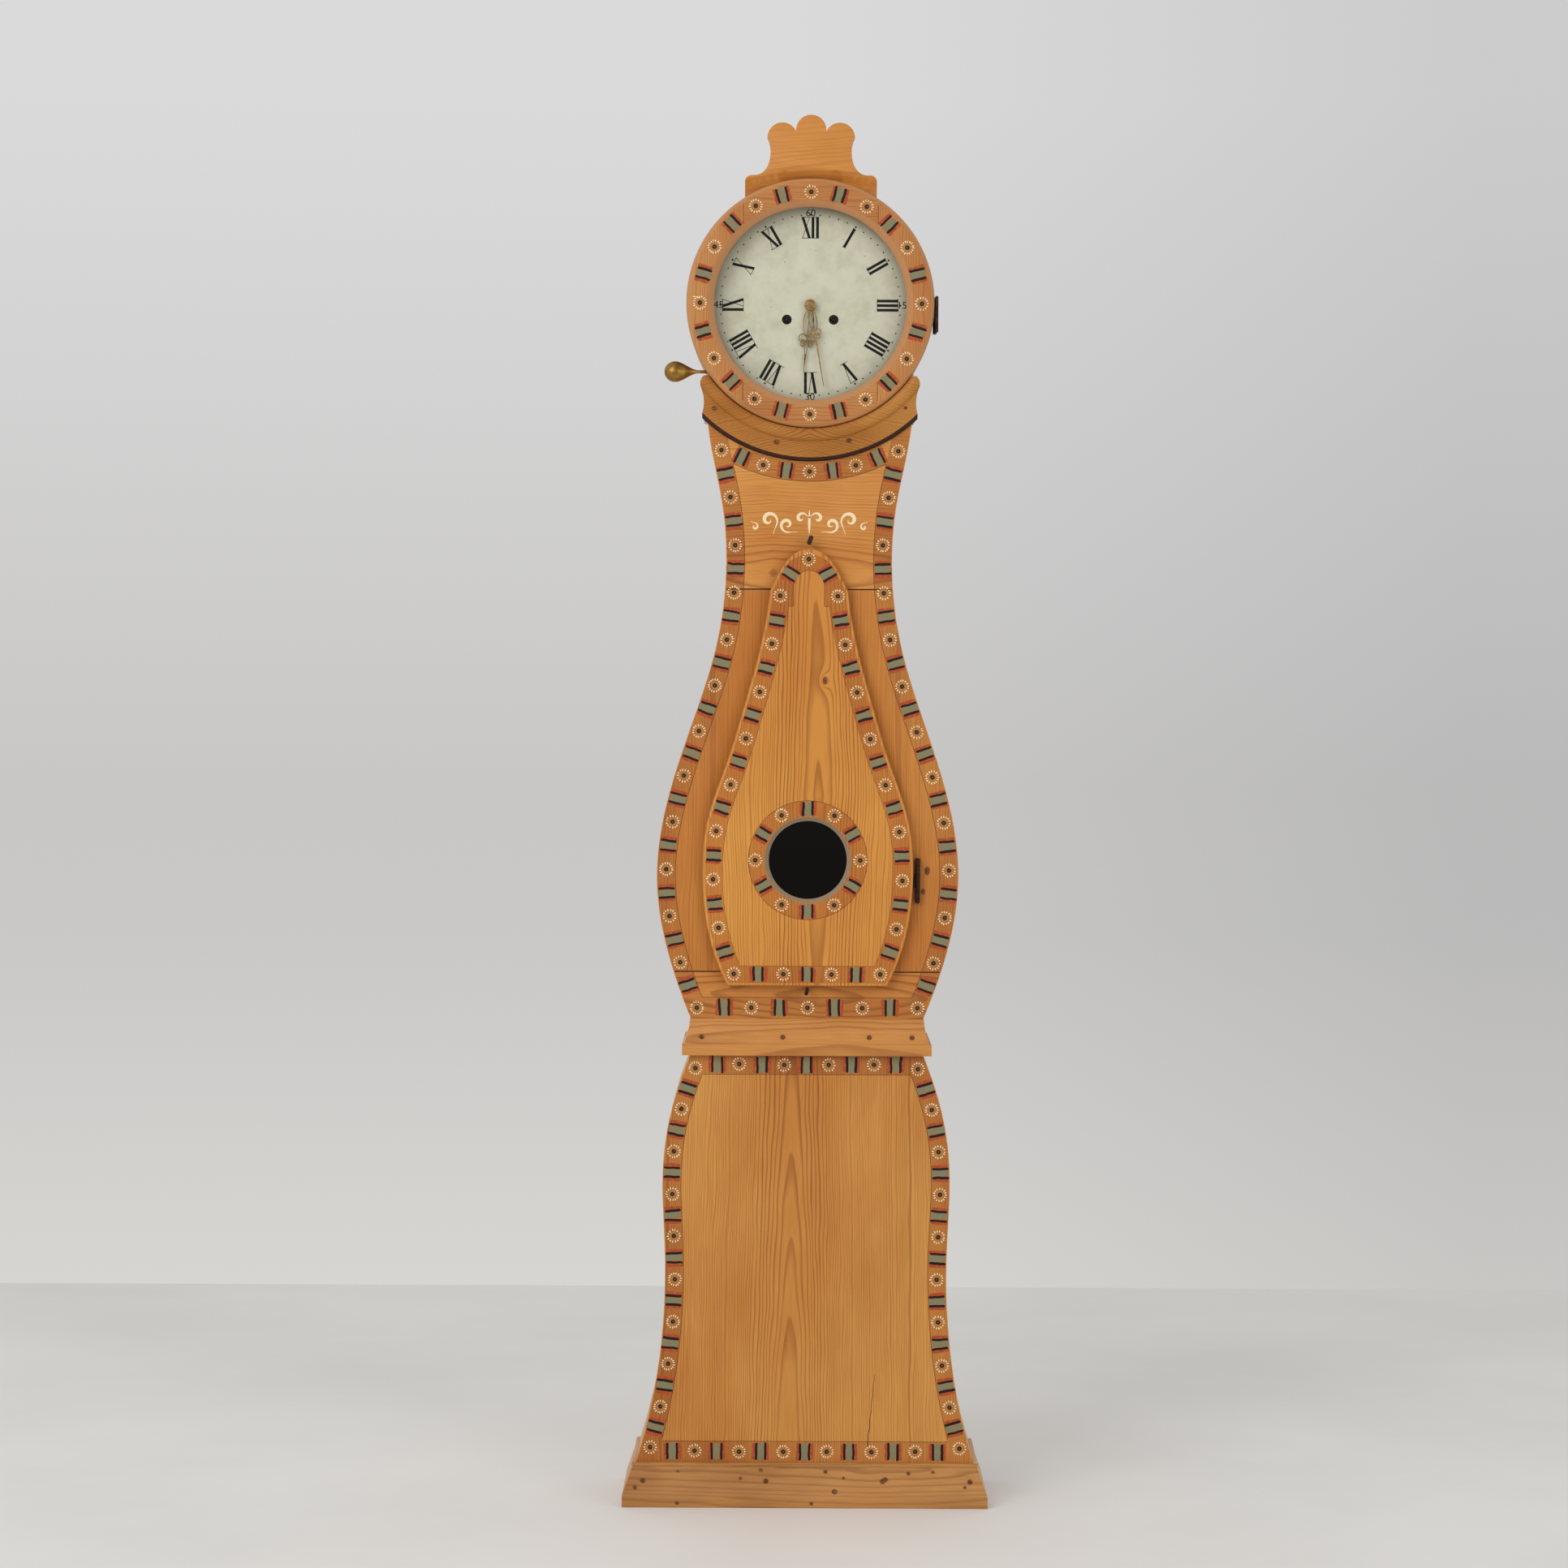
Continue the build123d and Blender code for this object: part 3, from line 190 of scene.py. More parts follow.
def finished(piece, material, body, slot, *nodes):
    """Gives a piece its finish, its body and the frame's nodes that it stands for."""
    piece.data.materials.clear()
    piece.data.materials.append(material)
    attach(piece, body)
    if nodes:
        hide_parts(*nodes)
    return piece


def dressed(node, name, material, body, slot, edge):
    """A board or moulding as the joiner left it: the frame's shape, with its sharp edges taken off."""
    piece = place_piece(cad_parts[node].data.copy(), name)
    select_only(piece)
    bpy.ops.object.mode_set(mode="EDIT")
    bpy.ops.mesh.select_all(action="SELECT")
    bpy.ops.mesh.remove_doubles(threshold=0.005 * MM)
    bpy.ops.mesh.dissolve_limited(angle_limit=math.radians(0.3))
    bpy.ops.object.mode_set(mode="OBJECT")
    softened = piece.modifiers.new("softened", "BEVEL")
    softened.width = edge * MM
    softened.segments = 2
    softened.limit_method = "ANGLE"
    softened.angle_limit = math.radians(38)
    softened.use_clamp_overlap = True
    bpy.ops.object.modifier_apply(modifier="softened")
    bpy.ops.object.shade_smooth_by_angle(angle=math.radians(32))
    return finished(piece, material, body, slot, node)


case_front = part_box("lower_front_board")[0].y
LOWER_HEART = ((-22 * MM, 0.10), case_front + 46 * MM)
lower_pine = pine("waxed_pine_lower_front", "Z", *LOWER_HEART, slope=0.020, ring=3.3)
dressed("lower_front_board", "lower_front", lower_pine, "case", "pine_board", 0.9)
raw_pine = pine("raw_pine_sides", "Z", (0.0, 0.9), 0.35, ring=3.2, spring="#E0BE9C", summer="#C0906A",
                rough=0.62,
                knots=((0.0, 0.42, 9 * MM),))
for node in ("lower_sides", "trunk_sides", "back_boards", "inner_boards"):
    dressed(node, node.replace("_", "-"), raw_pine, "case", "raw_pine", 0.8)

# --- Plinth and waist moulding -----------------------------------------------------------------
# Both are run in pine with a plane, mitred round the front corners and nailed on. Their grain lies
# level. The plinth has taken kicks and mops, so it is greyer than the rest.
plinth_pine = pine("waxed_pine_plinth", "X", (0.036, 0.1), case_front + 70 * MM, slope=0.01, ring=3.0,
                   spring="#C18A4C", summer="#9C6A38", stain="#CDBBA6", rough=0.55)
dressed("plinth_front", "plinth-front", plinth_pine, "case", "pine_board", 0.8)
dressed("plinth_returns", "plinth-returns", raw_pine, "case", "raw_pine", 0.8)
moulding_pine = pine("waxed_pine_moulding", "X", (0.70, 0.05), case_front + 60 * MM, slope=0.012, ring=3.4,
                     spring="#D0914A", summer="#AE7236")
dressed("waist_moulding_front", "waist-moulding-front", moulding_pine, "case", "pine_board", 0.7)
dressed("waist_moulding_returns", "waist-moulding-returns", raw_pine, "case", "raw_pine", 0.7)

# --- Trunk front ---------------------------------------------------------------------------------
# A frame of four pine boards round the door: upright stiles with level rails let in above and below.
# They are waxed like the lower front. The rails' wide flames lie level.
RAIL_HEART = ((1.444, -0.055), case_front + 63.6 * MM)
FOOT_HEART = ((0.792, 0.02), case_front + 55 * MM)
LEFT_HEART = ((-0.34, 1.0), case_front + 30 * MM)
RIGHT_HEART = ((0.34, 1.05), case_front + 30 * MM)
# The pale edge colour on these boards is worn raw pine with a painted highlight on their rounded edges and
# sides.
rail_pine = pine("waxed_pine_top_rail", "X", *RAIL_HEART, edge="#DDAF8C", slope=0.05, ring=3.9,
                 spring="#DB9C4E", summer="#B8783A")
foot_pine = pine("waxed_pine_bottom_rail", "X", *FOOT_HEART, edge="#DDAF8C", slope=0.035, ring=4.2,
                 spring="#CD8A3E", summer="#A86829")
left_pine = pine("waxed_pine_left_stile", "Z", *LEFT_HEART, edge="#DDAF8C", ring=4.6, spring="#C98437",
                 summer="#AE6D2C")
right_pine = pine("waxed_pine_right_stile", "Z", *RIGHT_HEART, edge="#DDAF8C", ring=4.6, spring="#CC873A",
                  summer="#B0702D",
                  knots=((0.184, 0.983, 4.0 * MM), (0.178, 0.951, 3.0 * MM)))
dressed("trunk_top_rail", "trunk-top-rail", rail_pine, "case", "pine_board", 0.8)
dressed("trunk_bottom_rail", "trunk-bottom-rail", foot_pine, "case", "pine_board", 0.8)
dressed("trunk_stile_left", "trunk-stile-left", left_pine, "case", "pine_board", 0.8)
dressed("trunk_stile_right", "trunk-stile-right", right_pine, "case", "pine_board", 0.8)

# --- Collar --------------------------------------------------------------------------------------
# A hollow moulding bent round the foot of the hood in short lengths, with a nose and a small bead
# below it that is painted brown-black. It is glued and nailed to the top rail.
collar_pine = pine("waxed_pine_collar", "X", (1.60, 0.0), case_front + 20 * MM, slope=0.25, ring=3.4,
                   spring="#C4883C", summer="#976024", stain="#DCC8A8")
dressed("collar_front", "collar-front", collar_pine, "case", "pine_board", 0.9)
dressed("collar_returns", "collar-returns", raw_pine, "case", "raw_pine", 0.9)


def oil_paint(name, colour, under, cover=0.5, rough=0.55):
    """Thin linseed paint, laid with one brush stroke and rubbed through in places to the wood under it."""
    made, tree, shader = new_material(name)
    place = add(tree, "TexCoord", {}, {}).outputs["Object"]
    cloudy = add(tree, "TexNoise", {"Scale": 260.0, "Detail": 4.0, "Roughness": 0.65}, {0: place})
    held = add(tree, "MapRange", {"From Min": cover - 0.06, "From Max": cover + 0.10}, {0: cloudy})
    mixed = add(tree, "Mix", {"data_type": "RGBA", 6: linear(colour), 7: linear(under)}, {0: held})
    tree.links.new(shader.inputs["Base Color"], mixed.outputs[2])
    shader.inputs["Roughness"].default_value = rough
    shader.inputs["Specular IOR Level"].default_value = 0.25
    bump = add(tree, "Bump", {"Strength": 0.2, "Distance": 0.1 * MM}, {"Height": cloudy})
    tree.links.new(shader.inputs["Normal"], bump.outputs[0])
    return made


bead_paint = oil_paint("brown_black_paint", "#34180C", "#4E2C16", cover=0.62)
dressed("collar_bead", "collar-bead", bead_paint, "case", "dark_paint", 0.4)

# --- Hood and crest ------------------------------------------------------------------------------
# The hood is a drum of thin boards behind a round front frame. The crest is a fretted pine board
# with five lobes, its foot cut to the ring and bevelled where it meets it.
dressed("hood_shell", "hood-shell", raw_pine, "case", "raw_pine", 0.8)
dressed("hood_front_frame", "hood-front-frame", bead_paint, "case", "dark_paint", 0.5)
crest_pine = pine("waxed_pine_crest", "X", (2.01, 0.12), case_front + 190 * MM, slope=0.03, ring=3.2,
                  spring="#D69446", summer="#C4863E")
dressed("crest", "crest-board", crest_pine, "case", "pine_board", 1.0)

# --- Hood door -----------------------------------------------------------------------------------
# Four pine segments make the ring, half-lapped, with level grain above and below and upright grain at
# the sides. Its outer edge is rounded and its inner edge chamfered. It was scrubbed paler than the case.
ring_low, ring_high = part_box("hood_ring_bottom")[0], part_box("hood_ring_top")[1]
ring_front = ring_low.y
dial_z = (ring_low.z + ring_high.z) / 2
ring_radius = (ring_high.z - ring_low.z) / 2
# The pinkish edge colour is worn raw pine with a painted highlight on the ring's rounded outer edge, inner
# chamfer and sides.
RING_WOOD = {"spring": "#C88D50", "summer": "#A66C38", "stain": "#E6D2BE", "edge": "#BE8A5E"}
ring_finishes = {
    "top": pine("waxed_pine_ring_top", "X", (2.09, 0.0), ring_front + 80 * MM, slope=0.03, **RING_WOOD),
    "bottom": pine("waxed_pine_ring_bottom", "X", (1.60, 0.0), ring_front + 80 * MM, slope=0.03, **RING_WOOD),
    "left": pine("waxed_pine_ring_left", "Z", (-0.27, 1.85), ring_front + 60 * MM, slope=0.03, **RING_WOOD),
    "right": pine("waxed_pine_ring_right", "Z", (0.27, 1.85), ring_front + 60 * MM, slope=0.03, **RING_WOOD),
}
for side, finish in ring_finishes.items():
    dressed("hood_ring_" + side, "hood-ring-" + side, finish, "hood_door", "pine_board", 0.6)

# --- Trunk door ----------------------------------------------------------------------------------
# One pine board, cut to a tall bell, with upright grain, a long flame and a small knot above the
# middle. Its edge is rounded and laps over the opening.
door_low, door_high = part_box("trunk_door")
door_front = door_low.y
DOOR_HEART = ((18 * MM, 1.10), door_front + 42 * MM)
DOOR_KNOTS = ((25 * MM, 1.275, 3.4 * MM),)
# The darker edge colour is painted shade on the door's rounded rim and sides.
door_pine = pine("waxed_pine_door", "Z", *DOOR_HEART, slope=0.022, ring=3.7, spring="#DB9A44",
                 summer="#9E5F20",
                 edge="#B5743A",
                 knots=DOOR_KNOTS)
dressed("trunk_door", "trunk-door", door_pine, "trunk_door", "pine_board", 0.5)


# --- Glazed borders ------------------------------------------------------------------------------
# Round each face runs a border, one thumb wide, rubbed with a thin brown glaze that lets the grain
# through. A scribed line, filled with dark dirt, closes its inner edge.
BORDER = 28 * MM
FILM = 0.08 * MM


def crossing(nodes):
    """A function that gives a face's half width at a height, read from its boards."""
    ends = []
    for node in nodes:
        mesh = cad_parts[node].data
        for line in mesh.edges:
            one, two = (mesh.vertices[i].co for i in line.vertices)
            if abs(one.z - two.z) > 1e-7 and max(one.x, two.x) > 0:
                ends.append((one, two) if one.z < two.z else (two, one))

    def half_width(z):
        return max(a.x + (b.x - a.x) * (z - a.z) / (b.z - a.z) for a, b in ends if a.z <= z <= b.z)
    return half_width


def side_line(half_width, low, high, count=120):
    """The right-hand outline from high to low, as points across and up."""
    return [Vector((half_width(z), z)) for z in (high + (low - high) * i / count for i in range(count + 1))]


def moved_in(line, distance):
    """A line moved towards its left, seen along it from top to bottom, which is into the face."""
    moved = []
    for i, point in enumerate(line):
        run = (line[min(i + 1, len(line) - 1)] - line[max(i - 1, 0)]).normalized()
        moved.append(point + Vector((run.y, -run.x)) * distance)
    return moved


def at_height(line, z):
    """Where a line is at a height."""
    for a, b in zip(line, line[1:]):
        if min(a.y, b.y) <= z <= max(a.y, b.y) and a.y != b.y:
            return a.x + (b.x - a.x) * (z - a.y) / (b.y - a.y)
    return line[0].x if z > line[0].y else line[-1].x


def film(name, quads, face_y, rise, material, body, slot):
    """A thin layer of glaze or paint on a front face, from four-cornered patches across and up."""
    shape = bmesh.new()
    for patch in quads:
        front = [shape.verts.new((x, face_y - rise, z)) for x, z in patch]
        shape.faces.new(front)
    bmesh.ops.remove_doubles(shape, verts=shape.verts, dist=0.002 * MM)
    bmesh.ops.recalc_face_normals(shape, faces=shape.faces)
    if shape.faces and sum(f.normal.y for f in shape.faces) > 0:
        bmesh.ops.reverse_faces(shape, faces=shape.faces)
    mesh = bpy.data.meshes.new(name)
    shape.to_mesh(mesh)
    shape.free()
    piece = place_piece(mesh, name)
    select_only(piece)
    layer = piece.modifiers.new("layer", "SOLIDIFY")
    layer.thickness = rise * 0.9
    layer.offset = -1.0
    bpy.ops.object.modifier_apply(modifier="layer")
    return finished(piece, material, body, slot)


def side_strips(outer, inner, low, high, step=6 * MM):
    """The border's patches down both sides between two heights."""
    count = max(2, round((high - low) / step))
    levels = [low + (high - low) * i / count for i in range(count + 1)]
    patches = []
    for a, b in zip(levels, levels[1:]):
        one = [(at_height(outer, a), a), (at_height(outer, b), b), (at_height(inner, b), b),
               (at_height(inner, a), a)]
        patches += [one, [(-x, z) for x, z in one]]
    return patches


def level_strip(edge, low, high):
    """The border's patches along a level edge, as wide as the face."""
    middle = (low + high) / 2
    return [[(-at_height(edge, low), low), (at_height(edge, low), low), (at_height(edge, middle), middle),
             (-at_height(edge, middle), middle)],
            [(-at_height(edge, middle), middle), (at_height(edge, middle), middle),
             (at_height(edge, high), high),
             (-at_height(edge, high), high)]]


def scribed(line, width=0.7 * MM):
    """A fine line's patches along a run of points."""
    other = moved_in(line, width)
    return [[tuple(a), tuple(b), tuple(c), tuple(d)] for a, b, c, d in zip(line, line[1:], other[1:], other)]


def both_sides(patches):
    return patches + [[(-x, z) for x, z in patch] for patch in patches]


GLAZE = {"spring": "#C27F38", "summer": "#9C6228", "stain": "#E2CDB2"}
dirt = oil_paint("dirt_in_scribed_line", "#4B2A16", "#7A4A24", cover=0.55)

# Lower front: sides from the plinth to the waist moulding, with a level band at each end.
plinth_top, moulding_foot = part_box("plinth_front")[1].z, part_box("waist_moulding_front")[0].z
lower_edge = crossing(["lower_front_board"])
lower_line = side_line(lower_edge, plinth_top, moulding_foot)
lower_outer, lower_inner = moved_in(lower_line, 1.2 * MM), moved_in(lower_line, BORDER)
lower_band = (plinth_top + 33 * MM, moulding_foot - 30 * MM)
lower_glaze = pine("glazed_pine_lower_border", "Z", *LOWER_HEART, slope=0.020, ring=3.3, **GLAZE)
film("lower-border", side_strips(lower_outer, lower_inner, *lower_band)
     + level_strip(lower_outer, plinth_top, lower_band[0])
     + level_strip(lower_outer, lower_band[1], moulding_foot),
     case_front, FILM, lower_glaze, "case", "pine_board")
lower_scribe = [p for p in lower_inner if lower_band[0] <= p.y <= lower_band[1]]
level_ends = [at_height(lower_inner, z) for z in lower_band]
film("lower-scribed-line", both_sides(scribed(lower_scribe))
     + scribed([Vector((x * level_ends[0] / 10, lower_band[0])) for x in range(-10, 11)])
     + scribed([Vector((x * level_ends[1] / 10, lower_band[1])) for x in range(-10, 11)]),
     case_front, 2 * FILM, dirt, "case", "dark_paint")

# Trunk front: sides from the waist moulding up to the collar, a level band at the foot and a bent
# one under the collar. Each board keeps its own grain under the glaze.
trunk_low, trunk_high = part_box("waist_moulding_front")[1].z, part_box("collar_bead")[1].z - 8 * MM
rail_foot, rail_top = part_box("trunk_stile_left")[0].z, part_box("trunk_stile_left")[1].z
trunk_edge = crossing(["trunk_top_rail", "trunk_stile_right", "trunk_bottom_rail"])
trunk_line = side_line(trunk_edge, trunk_low, trunk_high, 160)
trunk_outer, trunk_inner = moved_in(trunk_line, 1.2 * MM), moved_in(trunk_line, BORDER)
trunk_band = trunk_low + 33 * MM
film("trunk-border-foot", side_strips(trunk_outer, trunk_inner, trunk_band, rail_foot)
     + level_strip(trunk_outer, trunk_low, trunk_band), case_front, FILM,
     pine("glazed_pine_trunk_foot", "X", *FOOT_HEART, slope=0.035, ring=4.2, **GLAZE), "case", "pine_board")
stile_strips = side_strips(trunk_outer, trunk_inner, rail_foot, rail_top)
film("trunk-border-right", stile_strips[0::2], case_front, FILM,
     pine("glazed_pine_trunk_right", "Z", *RIGHT_HEART, ring=4.6, **GLAZE), "case", "pine_board")
film("trunk-border-left", stile_strips[1::2], case_front, FILM,
     pine("glazed_pine_trunk_left", "Z", *LEFT_HEART, ring=4.6, **GLAZE), "case", "pine_board")
bead_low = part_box("collar_bead")[0].z
bead_radius = dial_z - bead_low
arc_radius = bead_radius + 30 * MM


def arc(radius, half_angle, count=40):
    """Points of an arc under the dial, from left to right."""
    angles = [half_angle * (2 * i / count - 1) for i in range(count + 1)]
    return [Vector((radius * math.sin(a), dial_z - radius * math.cos(a))) for a in angles]


arc_half = math.asin(at_height(trunk_inner, dial_z - arc_radius * 0.9) / arc_radius)
arc_top, arc_foot = arc(bead_radius + 1 * MM, arc_half * 1.04), arc(arc_radius, arc_half)
film("trunk-border-neck", side_strips(trunk_outer, trunk_inner, rail_top, trunk_high)
     + [[tuple(a), tuple(b), tuple(c), tuple(d)] for a, b, c,
        d in zip(arc_top, arc_top[1:], arc_foot[1:], arc_foot)],
     case_front, FILM, pine("glazed_pine_trunk_neck", "X", *RAIL_HEART, slope=0.05, ring=3.9, **GLAZE),
     "case", "pine_board")
trunk_scribe = [p for p in trunk_inner if trunk_band <= p.y <= dial_z - arc_radius * 0.9]
trunk_foot_half = at_height(trunk_inner, trunk_band)
film("trunk-scribed-line", both_sides(scribed(trunk_scribe)) + scribed(arc_foot)
     + scribed([Vector((x * trunk_foot_half / 10, trunk_band)) for x in range(-10, 11)]),
     case_front, 2 * FILM, dirt, "case", "dark_paint")

# Door: the border follows the bell outside, and inside it is straight-sided with a round top on two
# small steps. A band goes across the foot, and a ring goes round the window.
door_edge = crossing(["trunk_door"])
door_line = side_line(door_edge, door_low.z + 0.2 * MM, door_high.z - 0.2 * MM, 200)
door_line[0] = Vector((0, door_high.z))
door_outer, door_inner = moved_in(door_line, 4.2 * MM), moved_in(door_line, 31 * MM)
door_band = door_low.z + 31 * MM
step_z = door_high.z - 88 * MM
door_glaze = pine("glazed_pine_door_border", "Z", *DOOR_HEART, slope=0.022, ring=3.5, spring="#C67F32",
                  summer="#9E6024", stain="#E2CDB2", knots=DOOR_KNOTS)
arch_half, arch_rise = 24 * MM, 26 * MM
arch_middle = door_high.z - 33 * MM - arch_rise
door_arch = [Vector((arch_half * math.sin(a), arch_middle + arch_rise * math.cos(a)))
             for a in (math.pi / 2 * i / 14 for i in range(15))] + [Vector((arch_half, step_z))]
step_corner = Vector((at_height(door_inner, step_z), step_z))
lower_door = side_strips(door_outer, door_inner, door_band, step_z)
upper_door = side_strips(door_outer, door_arch, step_z, door_arch[0].y - 0.2 * MM, 3 * MM)
cap = level_strip(door_outer, door_arch[0].y - 0.2 * MM, door_high.z - 4.5 * MM)
film("door-border", lower_door + upper_door + cap + level_strip(door_outer, door_low.z + 4.5 * MM, door_band),
     door_front, FILM, door_glaze, "trunk_door", "pine_board")
door_foot_half = at_height(door_inner, door_band)
inner_arch = scribed(door_arch) + scribed([Vector((arch_half, step_z)), step_corner])
door_scribe = [p for p in door_inner if door_band <= p.y <= step_z]
film("door-scribed-line", both_sides(inner_arch + scribed(door_scribe, 0.4 * MM))
     + scribed([Vector((x * door_foot_half / 10, door_band)) for x in range(-10, 11)], 0.4 * MM),
     door_front, 2 * FILM, dirt, "trunk_door", "dark_paint")
window_low, window_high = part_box("window_glass")
window_z = (window_low.z + window_high.z) / 2
window_radius = 66 * MM
window_outer = 91 * MM


def ring_of(x, z, inner, outer, count=96):
    """Patches of a flat ring."""
    turns = [2 * math.pi * i / count for i in range(count + 1)]
    return [[(x + r * math.cos(a), z + r * math.sin(a)) for r,
             a in ((inner, a0), (outer, a0), (outer, a1), (inner, a1))]
            for a0, a1 in zip(turns, turns[1:])]


film("window-border", ring_of(0, window_z, window_radius + 0.4 * MM, window_outer), door_front, FILM,
     door_glaze,
     "trunk_door", "pine_board")
film("window-scribed-line", ring_of(0, window_z, window_outer, window_outer + 0.6 * MM), door_front,
     2 * FILM, dirt,
     "trunk_door", "dark_paint")

# --- Brush strokes -------------------------------------------------------------------------------
# Across every border the painter laid groups of five strokes: grey-green in the middle, a black line
# each side of it and vermilion outside those. Between groups stands a small flower, a ring of cream
# dabs round a dark eye. The paint is thin, drawn freehand, and no two are quite alike.
paints = {
    "red": oil_paint("vermilion_paint", "#A9431F", "#B7662F", cover=0.56),
    "black": oil_paint("lamp_black_paint", "#120B09", "#2C1A12", cover=0.74),
    "green": oil_paint("grey_green_paint", "#807A5B", "#927E56", cover=0.6),
    "cream": oil_paint("cream_dabs", "#EFD9AE", "#D9B27C", cover=0.66),
    "brown": oil_paint("dark_brown_paint", "#26110A", "#45240F", cover=0.72),
    "wash": oil_paint("grey_brown_wash", "#A27540", "#B0763A", cover=0.5),
    "eye": oil_paint("olive_brown_paint", "#7C4F22", "#4A2A12", cover=0.6),
}
THICK = {"red": 0.16, "black": 0.24, "green": 0.19, "cream": 0.42, "brown": 0.26, "wash": 0.13, "eye": 0.32}

# One brush stroke, a millimetre square before it is sized: a plane with tapering, rounded ends.
bpy.ops.object.select_all(action="DESELECT")
bpy.ops.mesh.primitive_grid_add(x_subdivisions=3, y_subdivisions=9, size=1.0)
stroke = bpy.context.object
for corner in stroke.data.vertices:
    end = abs(corner.co.y) * 2
    corner.co.x *= 1 - 0.22 * max(0.0, end - 0.8) / 0.2
    tip = (corner.co.y > 0.49) - (corner.co.y < -0.49)
    corner.co.y += 0.02 * (0.5 - abs(corner.co.x)) * tip
# One dab, a low boss.
bpy.ops.mesh.primitive_circle_add(vertices=8, radius=0.5, fill_type="NGON")
dab = bpy.context.object
bpy.ops.object.mode_set(mode="EDIT")
bpy.ops.mesh.select_all(action="SELECT")
bpy.ops.mesh.inset(thickness=0.14)
bpy.ops.object.mode_set(mode="OBJECT")
templates = {"stroke": stroke.data.copy(), "dab": dab.data.copy()}
for spare in (stroke, dab):
    bpy.data.objects.remove(spare)
marks = {}


def mark(body, colour, shape, x, z, turn, width, length, face_y):
    """Notes one stroke or dab, centred at a place and turned in the face."""
    marks.setdefault((body, colour), []).append((shape, x, z, turn, width, length, face_y))


def stripes(body, x, z, turn, length, face_y, slip=0.0):
    """A group of five strokes. Turn is the way that the strokes run, from level."""
    across = turn + math.pi / 2
    for place, width, colour in ((-10.6, 5.4, "red"), (10.6, 5.4, "red"), (0, 9.6, "green"),
                                 (-7.1, 3.8, "black"),
                                 (7.1, 3.8, "black")):
        off = (place + chance.uniform(-0.5, 0.5)) * MM
        lean = turn + math.radians(chance.uniform(-2.2, 2.2))
        shift = chance.uniform(-0.9, 0.9) * MM + slip
        mark(body, colour, "stroke", x + off * math.cos(across) + shift * math.cos(turn),
             z + off * math.sin(across) + shift * math.sin(turn), lean + math.pi / 2,
             (width + chance.uniform(-0.5, 0.5)) * MM, length * chance.uniform(0.93, 1.0), face_y)


def flower(body, x, z, face_y, size=1.0):
    """A ring of dabs round a dark eye."""
    x, z = x + chance.uniform(-0.8, 0.8) * MM, z + chance.uniform(-0.8, 0.8) * MM
    mark(body, "wash", "dab", x, z, 0, 13.5 * MM * size, 13.5 * MM * size, face_y)
    count = chance.choice((14, 15, 15, 16))
    start = chance.uniform(0, 1)
    for i in range(count):
        angle = 2 * math.pi * (i + start + chance.uniform(-0.12, 0.12)) / count
        reach = 9.2 * MM * size * chance.uniform(0.96, 1.04)
        mark(body, "cream", "dab", x + reach * math.cos(angle), z + reach * math.sin(angle), angle
             + math.pi / 2,
             1.9 * MM * size * chance.uniform(0.85, 1.15), 3.5 * MM * size * chance.uniform(0.85, 1.15),
             face_y)
    mark(body, "brown", "dab", x, z, 0, 7.4 * MM * size, 7.4 * MM * size, face_y)
    mark(body, "eye", "dab", x + chance.uniform(-0.4, 0.4) * MM, z, 0, 2.3 * MM * size, 2.3 * MM * size,
         face_y)


def spaced(line, count):
    """Points at even steps along a line, each with the line's direction there."""
    runs = [(b - a).length for a, b in zip(line, line[1:])]
    whole, found, gone, i = sum(runs), [], 0.0, 0
    for number in range(count):
        target = whole * number / (count - 1)
        while i < len(runs) - 1 and gone + runs[i] < target:
            gone += runs[i]
            i += 1
        share = (target - gone) / runs[i] if runs[i] else 0
        step = line[i + 1] - line[i]
        found.append((line[i] + step * share, math.atan2(step.y, step.x)))
    return found


def decorated(body, line, flowers, face_y, length, ends=(True, True), mirror=True):
    """Flowers and stripes by turns along the middle of a border, and on its mirror image."""
    for sign in ((1, -1) if mirror else (1,)):
        for number, (point, way) in enumerate(spaced(line, 2 * flowers - 1)):
            if number % 2:
                turn = way + math.pi / 2
                stripes(body, sign * point.x, point.y, turn if sign > 0 else math.pi - turn, length, face_y)
            elif (number > 0 or ends[0]) and (number < 2 * flowers - 2 or ends[1]):
                flower(body, sign * point.x, point.y, face_y)


def kept(line, low, high):
    """The part of a line between two heights."""
    return [p for p in line if low <= p.y <= high]


# Lower front: ten flowers down each side, corners included, six along the top and eight at the foot.
lower_middle = kept(moved_in(lower_line, 14.5 * MM), plinth_top + 17 * MM, moulding_foot - 21 * MM)
decorated("case", lower_middle, 10, case_front, 26 * MM)
corner_low, corner_high = lower_middle[-1], lower_middle[0]
decorated("case", [Vector((-corner_high.x, moulding_foot - 15 * MM)),
                   Vector((corner_high.x, moulding_foot - 15 * MM))],
          6, case_front, 26 * MM, (False, False), False)
decorated("case", [Vector((-corner_low.x, plinth_top + 17 * MM)),
                   Vector((corner_low.x, plinth_top + 17 * MM))],
          8, case_front, 27 * MM, (False, False), False)
# Trunk: thirteen down each side, five along the foot and five under the collar.
trunk_middle = kept(moved_in(trunk_line, 14.5 * MM), trunk_low + 17 * MM, dial_z - 222 * MM)
decorated("case", trunk_middle, 13, case_front, 26 * MM)
trunk_corner = trunk_middle[-1]
decorated("case", [Vector((-trunk_corner.x, trunk_low + 17 * MM)),
                   Vector((trunk_corner.x, trunk_low + 17 * MM))],
          5, case_front, 27 * MM, (False, False), False)
neck_radius = bead_radius + 16 * MM
decorated("case", arc(neck_radius, math.asin(trunk_middle[0].x / neck_radius)), 5, case_front, 25 * MM,
          (False, False), False)
